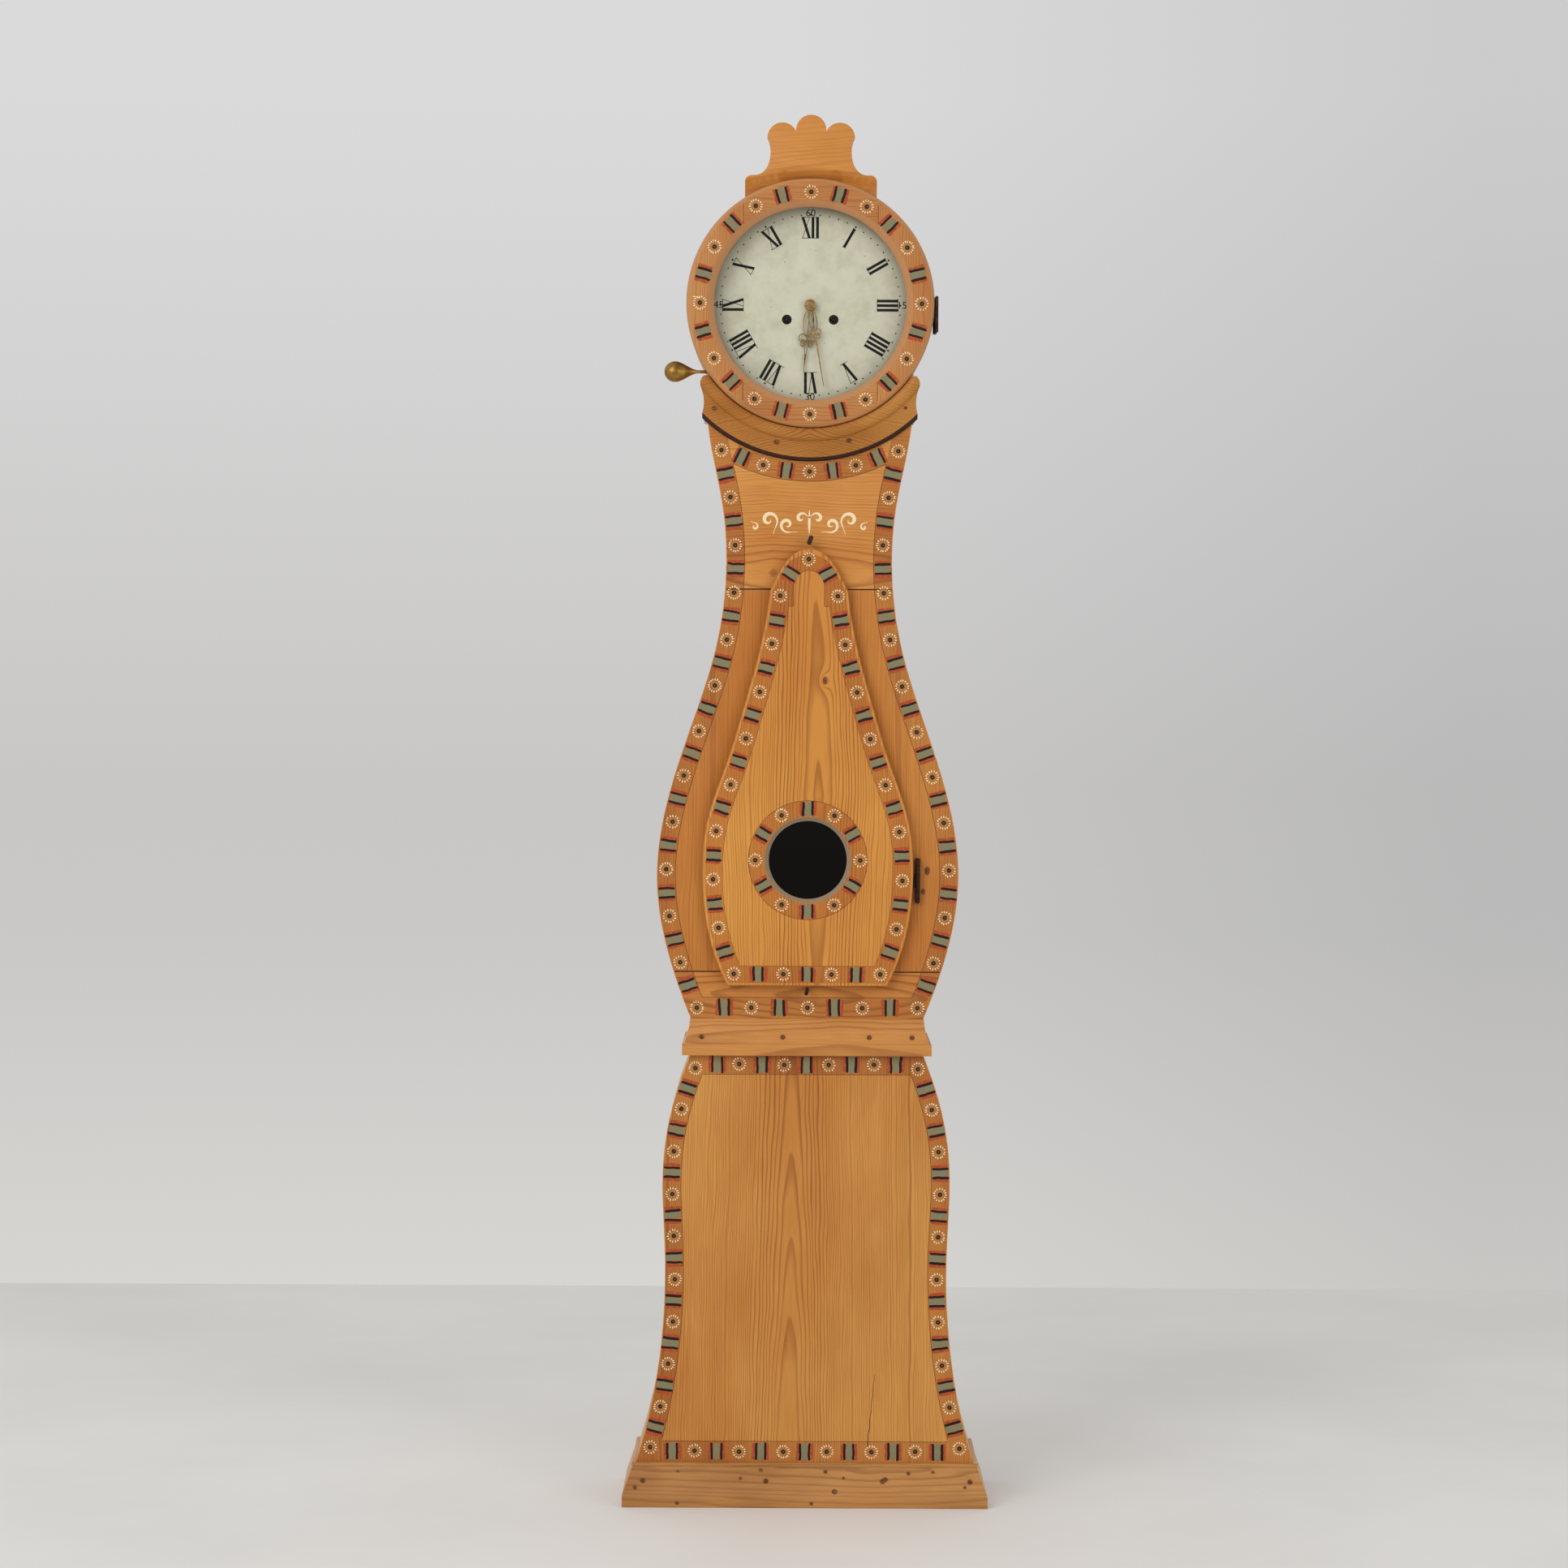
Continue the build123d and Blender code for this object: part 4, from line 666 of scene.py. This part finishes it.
# Door: one flower at the top, nine more down each side, and two between the corners at the foot.
door_middle = [p for p in moved_in(door_line, 17 * MM) if p.y > door_low.z + 16 * MM and p.x >= 0]
door_middle[0] = Vector((0, door_high.z - 16 * MM))
for side in (1, -1):
    for number, (point, way) in enumerate(spaced(door_middle, 19)):
        if number % 2:
            turn = way + math.pi / 2
            stripes("trunk_door", side * point.x, point.y, turn if side > 0 else math.pi - turn, 24 * MM,
                    door_front)
        elif number or side > 0:
            flower("trunk_door", side * point.x, point.y, door_front)
door_corner = door_middle[-1]
decorated("trunk_door", [Vector((-door_corner.x, door_corner.y)), Vector((door_corner.x, door_corner.y))], 4,
          door_front, 24 * MM, (False, False), False)
# Window and hood ring: six and twelve of each, all round.
for number in range(12):
    angle = math.radians(90 - 30 * number)
    reach = (window_radius + window_outer) / 2 + 0.5 * MM
    if number % 2 == 0:
        stripes("trunk_door", reach * math.cos(angle), window_z + reach * math.sin(angle), angle, 22 * MM,
                door_front)
    else:
        flower("trunk_door", (reach + 1 * MM) * math.cos(angle), window_z
               + (reach + 1 * MM) * math.sin(angle),
               door_front)
ring_middle = ring_radius - 20.5 * MM
for number in range(12):
    angle = math.radians(90 - 30 * number)
    flower("hood_door", ring_middle * math.cos(angle), dial_z + ring_middle * math.sin(angle), ring_front)
    angle -= math.radians(15)
    stripes("hood_door", ring_middle * math.cos(angle), dial_z + ring_middle * math.sin(angle), angle,
            24 * MM,
            ring_front)


def lay_marks():
    """Makes one piece for each colour on each body out of the marks that were noted."""
    for (body, colour), noted in marks.items():
        shape = bmesh.new()
        for kind, x, z, turn, width, length, face_y in noted:
            copy = templates[kind].copy()
            copy.transform(Matrix.Diagonal((width, length, 1, 1)))
            if kind == "stroke":
                seed = Vector((x * 90, z * 90, width * 900))
                for corner in copy.vertices:
                    corner.co.x += noise.noise(seed + Vector((0, corner.co.y * 110, 0))) * 0.9 * MM
            else:
                for corner in copy.vertices:
                    corner.co *= 1 + 0.12 * noise.noise(Vector((x * 900 + corner.co.x * 700, z * 900,
                                                                corner.co.y * 700)))
            turned = Matrix.Rotation(-turn, 4, "Y") @ Matrix.Rotation(math.radians(90), 4, "X")
            copy.transform(Matrix.Translation((x, face_y - THICK[colour] * MM, z)) @ turned)
            shape.from_mesh(copy)
            bpy.data.meshes.remove(copy)
        mesh = bpy.data.meshes.new(f"{body}-{colour}")
        shape.to_mesh(mesh)
        shape.free()
        piece = place_piece(mesh, f"{body}-paint-{colour}")
        select_only(piece)
        body_of_paint = piece.modifiers.new("body of paint", "SOLIDIFY")
        body_of_paint.thickness = THICK[colour] * 0.95 * MM
        body_of_paint.offset = -1.0
        bpy.ops.object.modifier_apply(modifier="body of paint")
        finished(piece, paints[colour], body, "dial_paint" if colour == "cream" else "dark_paint")


# --- Cream scrolls -------------------------------------------------------------------------------
# Above the door a band of scrolls is written in cream with a pointed brush, thick on the down
# strokes and thin on the turns. Two running curls face each other across a leafy middle.


def ribbon(points, widths, face_y):
    """Patches of a line that swells and thins."""
    patches = []
    edges = []
    for i, point in enumerate(points):
        run = (points[min(i + 1, len(points) - 1)] - points[max(i - 1, 0)]).normalized()
        side = Vector((run.y, -run.x)) * widths[i] / 2
        edges.append((point + side, point - side))
    for (a, b), (c, d) in zip(edges, edges[1:]):
        patches.append([tuple(a), tuple(c), tuple(d), tuple(b)])
    return patches


def scroll(x, z, size, start, turns, thick, flip=1, tail=0.0):
    """A curl that opens from its eye, with an optional tail that runs off at its end."""
    count = 34
    points = []
    for i in range(count + 1):
        share = i / count
        angle = start + flip * turns * 2 * math.pi * share
        reach = size * (0.16 + 0.84 * share ** 1.25)
        points.append(Vector((x + reach * math.cos(angle), z + reach * math.sin(angle))))
    if tail:
        run = (points[-1] - points[-2]).normalized()
        for i in range(1, 13):
            points.append(points[-1] + Matrix.Rotation(-flip * 0.05 * i / 12, 2) @ run * tail / 12)
    last = len(points) - 1
    widths = [(0.9 + thick * math.sin(math.pi * min(1.0, i / last * 1.15)) ** 2) * MM
              for i in range(last + 1)]
    return ribbon(points, widths, case_front)


scroll_z = (rail_top + dial_z - arc_radius) / 2 + 20 * MM
scrolls = []
for side in (1, -1):
    curls = scroll(62 * MM, scroll_z + 3 * MM, 14 * MM, math.pi * 0.9, 1.15, 4.8, 1, 14 * MM)
    curls += scroll(34 * MM, scroll_z - 4 * MM, 12 * MM, -math.pi * 0.2, 1.2, 4.2, -1, 12 * MM)
    curls += scroll(84 * MM, scroll_z - 7 * MM, 6 * MM, math.pi * 0.5, 1.0, 2.4, -1, 6 * MM)
    curls += scroll(12 * MM, scroll_z + 6 * MM, 9 * MM, math.pi, 0.9, 4.0, 1, 8 * MM)
    scrolls += [[(side * x, z) for x, z in patch] for patch in curls]
scrolls += ribbon([Vector((0, scroll_z + (18 - 2 * i) * MM)) for i in range(19)],
                  [(0.8 + 3.2 * math.sin(math.pi * i / 18)) * MM for i in range(19)], case_front)
film("cream-scrolls", scrolls, case_front, 0.3 * MM, paints["cream"], "case", "dial_paint")
lay_marks()

# --- Wear ----------------------------------------------------------------------------------------
# A grey wash survives on the window's bevel. The joints between boards have opened and filled with
# dirt, the lower panel has a short split by its foot, and nail heads and plugs show in the mouldings.
wash = oil_paint("grey_beige_wash", "#93816A", "#A67B4A", cover=0.6)
BEVEL, COAT = 6 * MM, 0.12 * MM
bpy.ops.object.select_all(action="DESELECT")
bpy.ops.mesh.primitive_cone_add(vertices=96, radius1=window_radius, radius2=window_radius - BEVEL,
                                depth=BEVEL,
                                end_fill_type="NOTHING", rotation=(-math.pi / 2, 0, 0))
bevel = bpy.context.object
bpy.ops.object.transform_apply(location=False, rotation=True, scale=False)
bevel.data.transform(Matrix.Translation((0, door_front + BEVEL / 2 - COAT, window_z)))
skin = bevel.modifiers.new("coat", "SOLIDIFY")
skin.thickness = COAT / 2
bpy.ops.object.modifier_apply(modifier="coat")
bevel.name = "window-bevel-wash"
bevel.matrix_world = Matrix.Identity(4)
finished(bevel, wash, "trunk_door", "dark_paint")

GAP, LIP = 1.9 * MM, 14 * MM
joints = []
for z in (rail_foot, rail_top):
    near, far = at_height(door_line, z) - LIP + 4 * MM, at_height(trunk_line, z) - 2 * MM
    joints.append([(near, z - GAP / 2), (far, z - GAP / 2), (far, z + GAP / 2), (near, z + GAP / 2)])
film("open-joints", both_sides(joints), case_front, 0.1 * MM, paints["brown"], "case", "dark_paint")
joints = []
JOINT, FLAT = 103 * MM, (158 * MM, ring_radius - 9 * MM)
low, high = (math.sqrt(r ** 2 - JOINT ** 2) for r in FLAT)
for near, far in ((low, high), (-high, -low)):
    joints.append([(JOINT - 0.4 * MM, dial_z + near), (JOINT + 0.4 * MM, dial_z + near),
                   (JOINT + 0.4 * MM, dial_z + far), (JOINT - 0.4 * MM, dial_z + far)])
film("ring-joints", both_sides(joints), ring_front, 0.1 * MM, dirt, "hood_door", "dark_paint")
split = [Vector(((107 - 11 * i / 14 + 0.8 * math.sin(2.1 * i)) * MM, (203 - 118 * i / 14) * MM))
         for i in range(15)]
film("panel-split", ribbon(split, [(0.5 + 0.06 * i) * MM for i in range(15)], case_front), case_front,
     0.1 * MM,
     dirt, "case", "dark_paint")
# Painted highlight: a short cream stroke on the ring's left stands for the lit edge of a finger notch.
notch_highlight = [Vector((-180 * MM, dial_z + 9 * MM)), Vector((-172 * MM, dial_z + 8 * MM)),
           Vector((-165 * MM, dial_z + 3 * MM))]
film("ring-notch-painted-highlight", ribbon(notch_highlight, [0.8 * MM, 1.6 * MM, 0.7 * MM], ring_front), ring_front, 0.1 * MM,
     paints["cream"], "hood_door", "dial_paint")


def plugs(name, places, lean):
    """Round heads set in a sloping face: (x, z, y, diameter), leaned to stand square to it."""
    shape = bmesh.new()
    for x, z, y, size in places:
        head = templates["dab"].copy()
        turned = lean(x, z).normalized().to_track_quat("Z", "Y").to_matrix().to_4x4()
        head.transform(Matrix.Translation((x, y, z)) @ turned @ Matrix.Diagonal((size, size * 0.9, 1, 1)))
        shape.from_mesh(head)
        bpy.data.meshes.remove(head)
    mesh = bpy.data.meshes.new(name)
    shape.to_mesh(mesh)
    shape.free()
    piece = place_piece(mesh, name)
    select_only(piece)
    body_of_plug = piece.modifiers.new("body of plug", "SOLIDIFY")
    body_of_plug.thickness = 1.6 * MM
    body_of_plug.offset = 0.0
    bpy.ops.object.modifier_apply(modifier="body of plug")
    finished(piece, plug_wood, "case", "dark_paint")


plug_wood = oil_paint("oak_plugs_and_heads", "#5E371C", "#80502B", cover=0.5)
PLINTH_SLOPE = 15 / 45
plinth_places = [(x * MM, z * MM, case_front - (6 + (61 - z) * PLINTH_SLOPE) * MM, size * MM)
                 for x, z, size in ((-196, 54, 4), (-99, 44, 5), (-68, 56, 6), (32, 54, 6), (60, 45, 4),
                                    (124, 43, 8),
                                    (198, 54, 5), (247, 32, 5), (46, 25, 9), (-262, 30, 7), (160, 52, 6))]
plinth_places += [(x * MM, 7 * MM, case_front - 21 * MM, 6 * MM) for x in (-197, 10)]
plugs("plinth-plugs", plinth_places, lambda x, z: Vector((0, -1, PLINTH_SLOPE if z > 17 * MM else 0)))
COLLAR_SLOPE = 0.33
collar_places = [(x * MM, z * MM, case_front - 11.6 * MM, size * MM)
                 for x, z, size in ((-146, 1691, 8), (-51, 1640, 8.5), (60, 1643, 9), (146, 1693, 6))]
plugs("collar-plugs", collar_places,
      lambda x, z: Vector((0, -1, 0)) + COLLAR_SLOPE * Vector((x, 0, z - dial_z)).normalized())

# --- Dial ----------------------------------------------------------------------------------------
# A sheet-iron dial, painted cream and gone greenish grey with age, darker round its edge. Numerals
# and minute dots are in black with a fine brush. The hands and winding squares stand in holes, the
# winding holes darkened behind the dial by black rings as painted shade.
dial_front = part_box("dial")[0].y
made, tree, shader = new_material("aged_dial_paint")
place = add(tree, "TexCoord", {}, {}).outputs["Object"]
centred = add(tree, "Mapping", {"Location": (0, 0, -dial_z), "Scale": (1, 0, 1)}, {0: place})
reach = add(tree, "VectorMath", {"operation": "LENGTH"}, {0: centred}).outputs["Value"]
mottle = add(tree, "TexNoise", {"Scale": 38.0, "Detail": 5.0, "Roughness": 0.62}, {0: place})
# The face is mixed towards a darker colour near its rim.
edge = add(tree, "Math", {"operation": "MULTIPLY_ADD", 1: 22 * MM}, {0: mottle, 2: reach})
edge = add(tree, "MapRange", {"From Min": 0.148, "From Max": 0.166}, {0: edge})
face = ramp(tree, mottle, [(0.30, "#C4C2A6"), (0.52, "#D3D1B9"), (0.75, "#DAD8C3")])
darker_rim_face = add(tree, "Mix", {"data_type": "RGBA", 7: linear("#A3987C")}, {0: edge, 6: face}).outputs[2]
tree.links.new(shader.inputs["Base Color"], darker_rim_face)
shader.inputs["Roughness"].default_value = 0.48
crazed = add(tree, "TexVoronoi", {"Scale": 260.0, "feature": "DISTANCE_TO_EDGE"}, {0: place})
bump = add(tree, "Bump", {"Strength": 0.12, "Distance": 0.1 * MM}, {"Height": crazed})
tree.links.new(shader.inputs["Normal"], bump.outputs[0])
dial_finish = made
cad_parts["dial"].data.materials.clear()
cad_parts["dial"].data.materials.append(dial_finish)

dial_black = oil_paint("dial_black", "#0D0B09", "#2A261E", cover=0.75)
INNER, OUTER = 103 * MM, 135 * MM
dial_marks = []


def dial_bar(x0, r0, x1, r1, width, angle):
    """A bar of a numeral from (x0, r0) to (x1, r1), across and out from the dial's middle."""
    one, two = Vector((x0, r0)), Vector((x1, r1))
    side = Vector((width / 2, 0))
    corners = [one - side, one + side, two + side, two - side]
    out = Vector((math.sin(angle), math.cos(angle)))
    right = Vector((math.cos(angle), -math.sin(angle)))
    dial_marks.append([tuple(Vector((0, dial_z)) + right * c.x + out * c.y) for c in corners])


HEAVY, HAIR = 4.3 * MM, 0.9 * MM
WIDE = {"I": 7.0 * MM, "V": 14.0 * MM, "X": 14.0 * MM}
for hour, letters in enumerate("XII I II III IIII V VI VII VIII IX X XI".split()):
    angle = math.radians(30 * hour)
    left = -sum(WIDE[k] for k in letters) / 2
    for letter in letters:
        middle, half = left + WIDE[letter] / 2, WIDE[letter] / 2 - 1.8 * MM
        if letter == "I":
            dial_bar(middle, INNER, middle, OUTER, HEAVY, angle)
        elif letter == "V":
            dial_bar(middle - half, OUTER, middle + 0.6 * MM, INNER, HEAVY, angle)
            dial_bar(middle + half, OUTER, middle + 0.6 * MM, INNER, HAIR, angle)
        else:
            dial_bar(middle - half, OUTER, middle + half, INNER, HEAVY, angle)
            dial_bar(middle + half, OUTER, middle - half, INNER, HAIR, angle)
        left += WIDE[letter]
    wide = sum(WIDE[k] for k in letters) / 2 - 0.8 * MM
    for rim in (INNER, OUTER):
        dial_bar(-wide, rim - HAIR / 2, -wide, rim + HAIR / 2, HAIR, angle)
        count = 8
        for i in range(count):
            at = -wide + 2 * wide * (i + 0.5) / count
            dial_bar(at, rim - HAIR / 2, at, rim + HAIR / 2, 2 * wide / count, angle)
DOTS, DOT = 138.5 * MM, 1.15 * MM
for minute in range(60):
    angle = math.radians(6 * minute)
    x, z = DOTS * math.sin(angle), dial_z + DOTS * math.cos(angle)
    size = DOT * (1.35 if minute % 5 == 0 else 1.0)
    turns = [math.pi * i / 4 for i in range(8)]
    dial_marks.append([(x + size * math.cos(a), z + size * math.sin(a)) for a in turns])
for x, z in ((-88, 48), (-40, 66), (-61, -3), (84, 76), (22, -58), (-114, -54), (50, 101), (8, 84)):
    spot = 0.7 * MM
    dial_marks.append([(x * MM + spot * math.cos(a), dial_z + z * MM + spot * math.sin(a))
                       for a in (math.pi * i / 3 for i in range(6))])
film("dial-numerals", dial_marks, dial_front, 0.12 * MM, dial_black, "case", "dark_paint")
# Painted shade: black rings behind the dial round the winding arbors darken the winding holes, standing for
# their depth.
dial_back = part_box("dial")[1].y
WINDING_X, WINDING_DROP = 36 * MM, 22 * MM
painted_shade_rings = [patch for side in (-1, 1) for patch in ring_of(side * WINDING_X, dial_z - WINDING_DROP, 4 * MM,
                                                         12 * MM, 32)]
film("winding-hole-painted-shade", painted_shade_rings, dial_back + 1 * MM, 0.3 * MM, dial_black, "case", "dark_paint")

for label, angle in (("60", 0), ("15", 90), ("30", 180), ("45", 270)):
    bpy.ops.object.select_all(action="DESELECT")
    bpy.ops.object.text_add()
    figure = bpy.context.object
    figure.data.body = label
    figure.data.size = 15.5 * MM
    figure.data.align_x, figure.data.align_y = "CENTER", "CENTER"
    figure.data.extrude = 0.05 * MM
    bpy.ops.object.convert(target="MESH")
    figure = bpy.context.object
    figure.name = "dial-minutes-" + label
    turn = math.radians(angle)
    reach = 141 * MM
    figure.data.transform(Matrix.Translation((reach * math.sin(turn), dial_front - 0.07 * MM,
                                              dial_z + reach * math.cos(turn)))
                          @ Matrix.Rotation(math.radians(90), 4, "X"))
    figure.matrix_world = Matrix.Identity(4)
    finished(figure, dial_black, "case", "dark_paint")


# --- Metalwork -----------------------------------------------------------------------------------
# Hands, knob, bob and wheels are cast or sheet brass, filed and rubbed, gone brown in the hollows.
# Hinges and catches are forged iron, nearly black. The barrels with their great wheels and winding
# squares are blackened steel; anchor, hammer, pillars and pendulum rod are bright steel.
def metal(name, bright, dull, rough, lines, stretch=(1, 1, 1), patina=0.5):
    made, tree, shader = new_material(name)
    place = add(tree, "TexCoord", {}, {}).outputs["Object"]
    turned = add(tree, "Mapping", {"Scale": stretch}, {0: place})
    scratches = add(tree, "TexNoise", {"Scale": lines, "Detail": 3.0, "Roughness": 0.6}, {0: turned})
    clouds = add(tree, "TexNoise", {"Scale": 55.0, "Detail": 4.0, "Roughness": 0.6}, {0: place})
    both = add(tree, "Math", {"operation": "MULTIPLY_ADD", 1: 0.5}, {0: scratches, 2: clouds})
    share = add(tree, "MapRange", {"From Min": 0.3 + patina * 0.6, "From Max": 0.7 + patina * 0.6}, {0: both})
    mixed = add(tree, "Mix", {"data_type": "RGBA", 6: linear(bright), 7: linear(dull)}, {0: share}).outputs[2]
    tree.links.new(shader.inputs["Base Color"], mixed)
    shader.inputs["Metallic"].default_value = 1.0
    varied = add(tree, "MapRange", {"To Min": rough - 0.08, "To Max": rough + 0.15}, {0: both})
    tree.links.new(shader.inputs["Roughness"], varied.outputs[0])
    bump = add(tree, "Bump", {"Strength": 0.3, "Distance": 0.15 * MM}, {"Height": scratches})
    tree.links.new(shader.inputs["Normal"], bump.outputs[0])
    return made


old_brass = metal("old_brass", "#B08A48", "#6E4D22", 0.38, 700.0)
knob_brass = metal("filed_brass_knob", "#B58C46", "#6B4A20", 0.34, 180.0, (6, 1, 0.25), 0.45)
hand_brass = metal("hand_brass", "#B39360", "#6A5330", 0.42, 500.0)
dark_steel = metal("blackened_steel", "#3A3836", "#161413", 0.5, 300.0)
forged_iron = metal("forged_iron", "#4A3A33", "#231814", 0.55, 240.0)
steel = metal("polished_steel", "#A9A8A6", "#6D6A66", 0.3, 600.0)
cast_lead = metal("cast_lead", "#7D7C79", "#4C4A47", 0.6, 120.0)
finishes = {
    "hood_knob": knob_brass, "minute_hand": hand_brass, "hour_hand": hand_brass, "centre_arbor": hand_brass,
    "pendulum_bob": old_brass, "rating_nut": old_brass, "movement_plates": old_brass,
    "going_barrel": dark_steel, "strike_barrel": dark_steel,
    "third_wheel": old_brass, "escape_wheel": old_brass, "minute_wheel": old_brass, "hour_wheel": old_brass,
    "cannon_pinion": old_brass, "cock_and_bell_stand": old_brass,
    "bell": metal("bell_bronze", "#B79A62", "#7B6234", 0.28, 500.0),
    "anchor": steel, "hammer": steel, "pillars_and_posts": steel, "pendulum_rod": steel,
    "going_weight": cast_lead, "strike_weight": cast_lead,
    "top_catch": forged_iron, "bottom_catch": forged_iron, "hinge_case_leaves": forged_iron,
    "hinge_pins": forged_iron, "hood_hinge_door_leaf": forged_iron, "trunk_hinge_door_tang": forged_iron,
}
for node, finish in finishes.items():
    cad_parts[node].data.materials.clear()
    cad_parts[node].data.materials.append(finish)

# --- Lines, pegs and putty -----------------------------------------------------------------------
# The weights hang on gut, twisted and oiled to amber. Mouldings are held by forged nails with dark,
# slightly sunk heads and by small oak pegs. The glass sits in brown linseed putty.
made, tree, shader = new_material("twisted_gut")
place = add(tree, "TexCoord", {}, {}).outputs["Object"]
twist = add(tree, "Mapping", {"Rotation": (0, math.radians(28), 0)}, {0: place})
wound = add(tree, "TexWave", {"Scale": 220.0, "bands_direction": "Z", "Distortion": 0.6}, {0: twist})
tree.links.new(shader.inputs["Base Color"], ramp(tree, wound,
                                                 [(0.0, "#8A6636"), (1.0, "#C49A5C")]).outputs[0])
shader.inputs["Roughness"].default_value = 0.5
gut = made
putty = oil_paint("linseed_putty", "#8A7657", "#6E5B40", cover=0.55, rough=0.7)
peg_wood = oil_paint("dark_nail_heads", "#4E2F1B", "#7B4C28", cover=0.5)
for node, finish in (("going_line", gut), ("strike_line", gut), ("pegs", peg_wood),
                     ("hood_glass_bead", putty),
                     ("window_bead", putty)):
    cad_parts[node].data.materials.clear()
    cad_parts[node].data.materials.append(finish)

# --- Glass ---------------------------------------------------------------------------------------
# Hand-blown window glass in both doors, thin and slightly waved. The trunk's pane is near black and
# all but opaque: painted shade that stands for the unlit case behind it.
for node, name, tone, cover, rough in (("hood_glass", "clear_crown_glass", "#20241E", 0.03, 0.04),
                                       ("window_glass", "crown_glass_painted_shade_black", "#060302", 0.97, 0.05)):
    made, tree, shader = new_material(name)
    place = add(tree, "TexCoord", {}, {}).outputs["Object"]
    wave = add(tree, "TexNoise", {"Scale": 14.0, "Detail": 1.0}, {0: place})
    bump = add(tree, "Bump", {"Strength": 0.15, "Distance": 1.0 * MM}, {"Height": wave})
    tree.links.new(shader.inputs["Normal"], bump.outputs[0])
    shader.inputs["Base Color"].default_value = linear(tone)
    shader.inputs["Roughness"].default_value = rough
    shader.inputs["Specular IOR Level"].default_value = 0.14
    shader.inputs["Alpha"].default_value = cover
    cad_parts[node].data.materials.clear()
    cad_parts[node].data.materials.append(made)

# --- Studio --------------------------------------------------------------------------------------
# A pale grey floor that ends a little behind the clock, against an even grey surround. One large
# soft light is high in front on the left, a weaker one on the right, and the surround fills the rest.
bpy.ops.object.select_all(action="DESELECT")
bpy.ops.mesh.primitive_plane_add(size=1.0)
floor = bpy.context.object
floor.name = "studio-floor"
FLOOR_END, FLOOR_SPAN = 2.07, 26.0
floor.data.transform(Matrix.Translation((0, FLOOR_END - FLOOR_SPAN / 2, -0.0002))
                     @ Matrix.Diagonal((FLOOR_SPAN, FLOOR_SPAN, 1, 1)))
made, tree, shader = new_material("painted_studio_floor")
place = add(tree, "TexCoord", {}, {}).outputs["Object"]
scuffs = add(tree, "TexNoise", {"Scale": 1.4, "Detail": 5.0, "Roughness": 0.55}, {0: place})
tree.links.new(shader.inputs["Base Color"], ramp(tree, scuffs,
                                                 [(0.35, "#E2E1DD"), (0.65, "#E9E8E4")]).outputs[0])
shader.inputs["Roughness"].default_value = 0.75
floor.data.materials.append(made)

surround = bpy.data.worlds.new("surround")
bpy.context.scene.world = surround
surround.use_nodes = True
tree = surround.node_tree
sky = tree.nodes["Background"]
look = add(tree, "TexCoord", {}, {}).outputs["Generated"]
height = add(tree, "SeparateXYZ", {}, {0: look}).outputs[2]
height = add(tree, "MapRange", {"From Min": -0.20, "From Max": 0.14}, {0: height})
fade = ramp(tree, height, [(0.0, "#D9D8D4"), (0.10, "#D8D7D3"), (0.39, "#C9C8C7"), (0.50, "#C8C7C6"),
                           (0.80, "#D4D3D3"), (1.0, "#DBDADA")])
across = add(tree, "SeparateXYZ", {}, {0: look}).outputs[0]
shade = ramp(tree, add(tree, "MapRange", {"From Min": 0.0, "From Max": 0.17}, {0: across}),
             [(0.0, "#FFFFFF"), (1.0, "#EEEEEF")])
dimmed = add(tree, "Mix", {"data_type": "RGBA", "blend_type": "MULTIPLY", 0: 1.0},
             {6: fade, 7: shade}).outputs[2]
tree.links.new(sky.inputs["Color"], dimmed)
sky.inputs["Strength"].default_value = 1.0

for name, spot, aim, size, power in (("window-light", (-2.6, -3.9, 3.3), (0, 0, 0.95), 2.6, 86.0),
                                     ("fill-light", (3.2, -4.2, 2.0), (0, 0, 0.8), 2.4, 40.0)):
    data = bpy.data.lights.new(name, "AREA")
    data.shape, data.size, data.energy = "SQUARE", size, power
    lamp = bpy.data.objects.new(name, data)
    bpy.context.scene.collection.objects.link(lamp)
    lamp.location = spot
    lamp.rotation_euler = (Vector(aim) - Vector(spot)).to_track_quat("-Z", "Y").to_euler()

# --- Camera --------------------------------------------------------------------------------------
# Six metres off, at chest height, a little left of the middle and looking slightly down.
CAMERA_PLACE = (-0.037, case_front - 6.1, 1.30)
CAMERA_DIP, CAMERA_ROLL = math.radians(1.73), math.radians(0.27)
view = bpy.data.cameras.new("camera")
view.lens = 91.1
camera = bpy.data.objects.new("camera", view)
bpy.context.scene.collection.objects.link(camera)
camera.matrix_world = (Matrix.Translation(CAMERA_PLACE)
                       @ Euler((math.pi / 2 - CAMERA_DIP, 0, 0)).to_matrix().to_4x4()
                       @ Matrix.Rotation(CAMERA_ROLL, 4, "Z"))
bpy.context.scene.camera = camera
bpy.context.scene.view_settings.view_transform = "Standard"
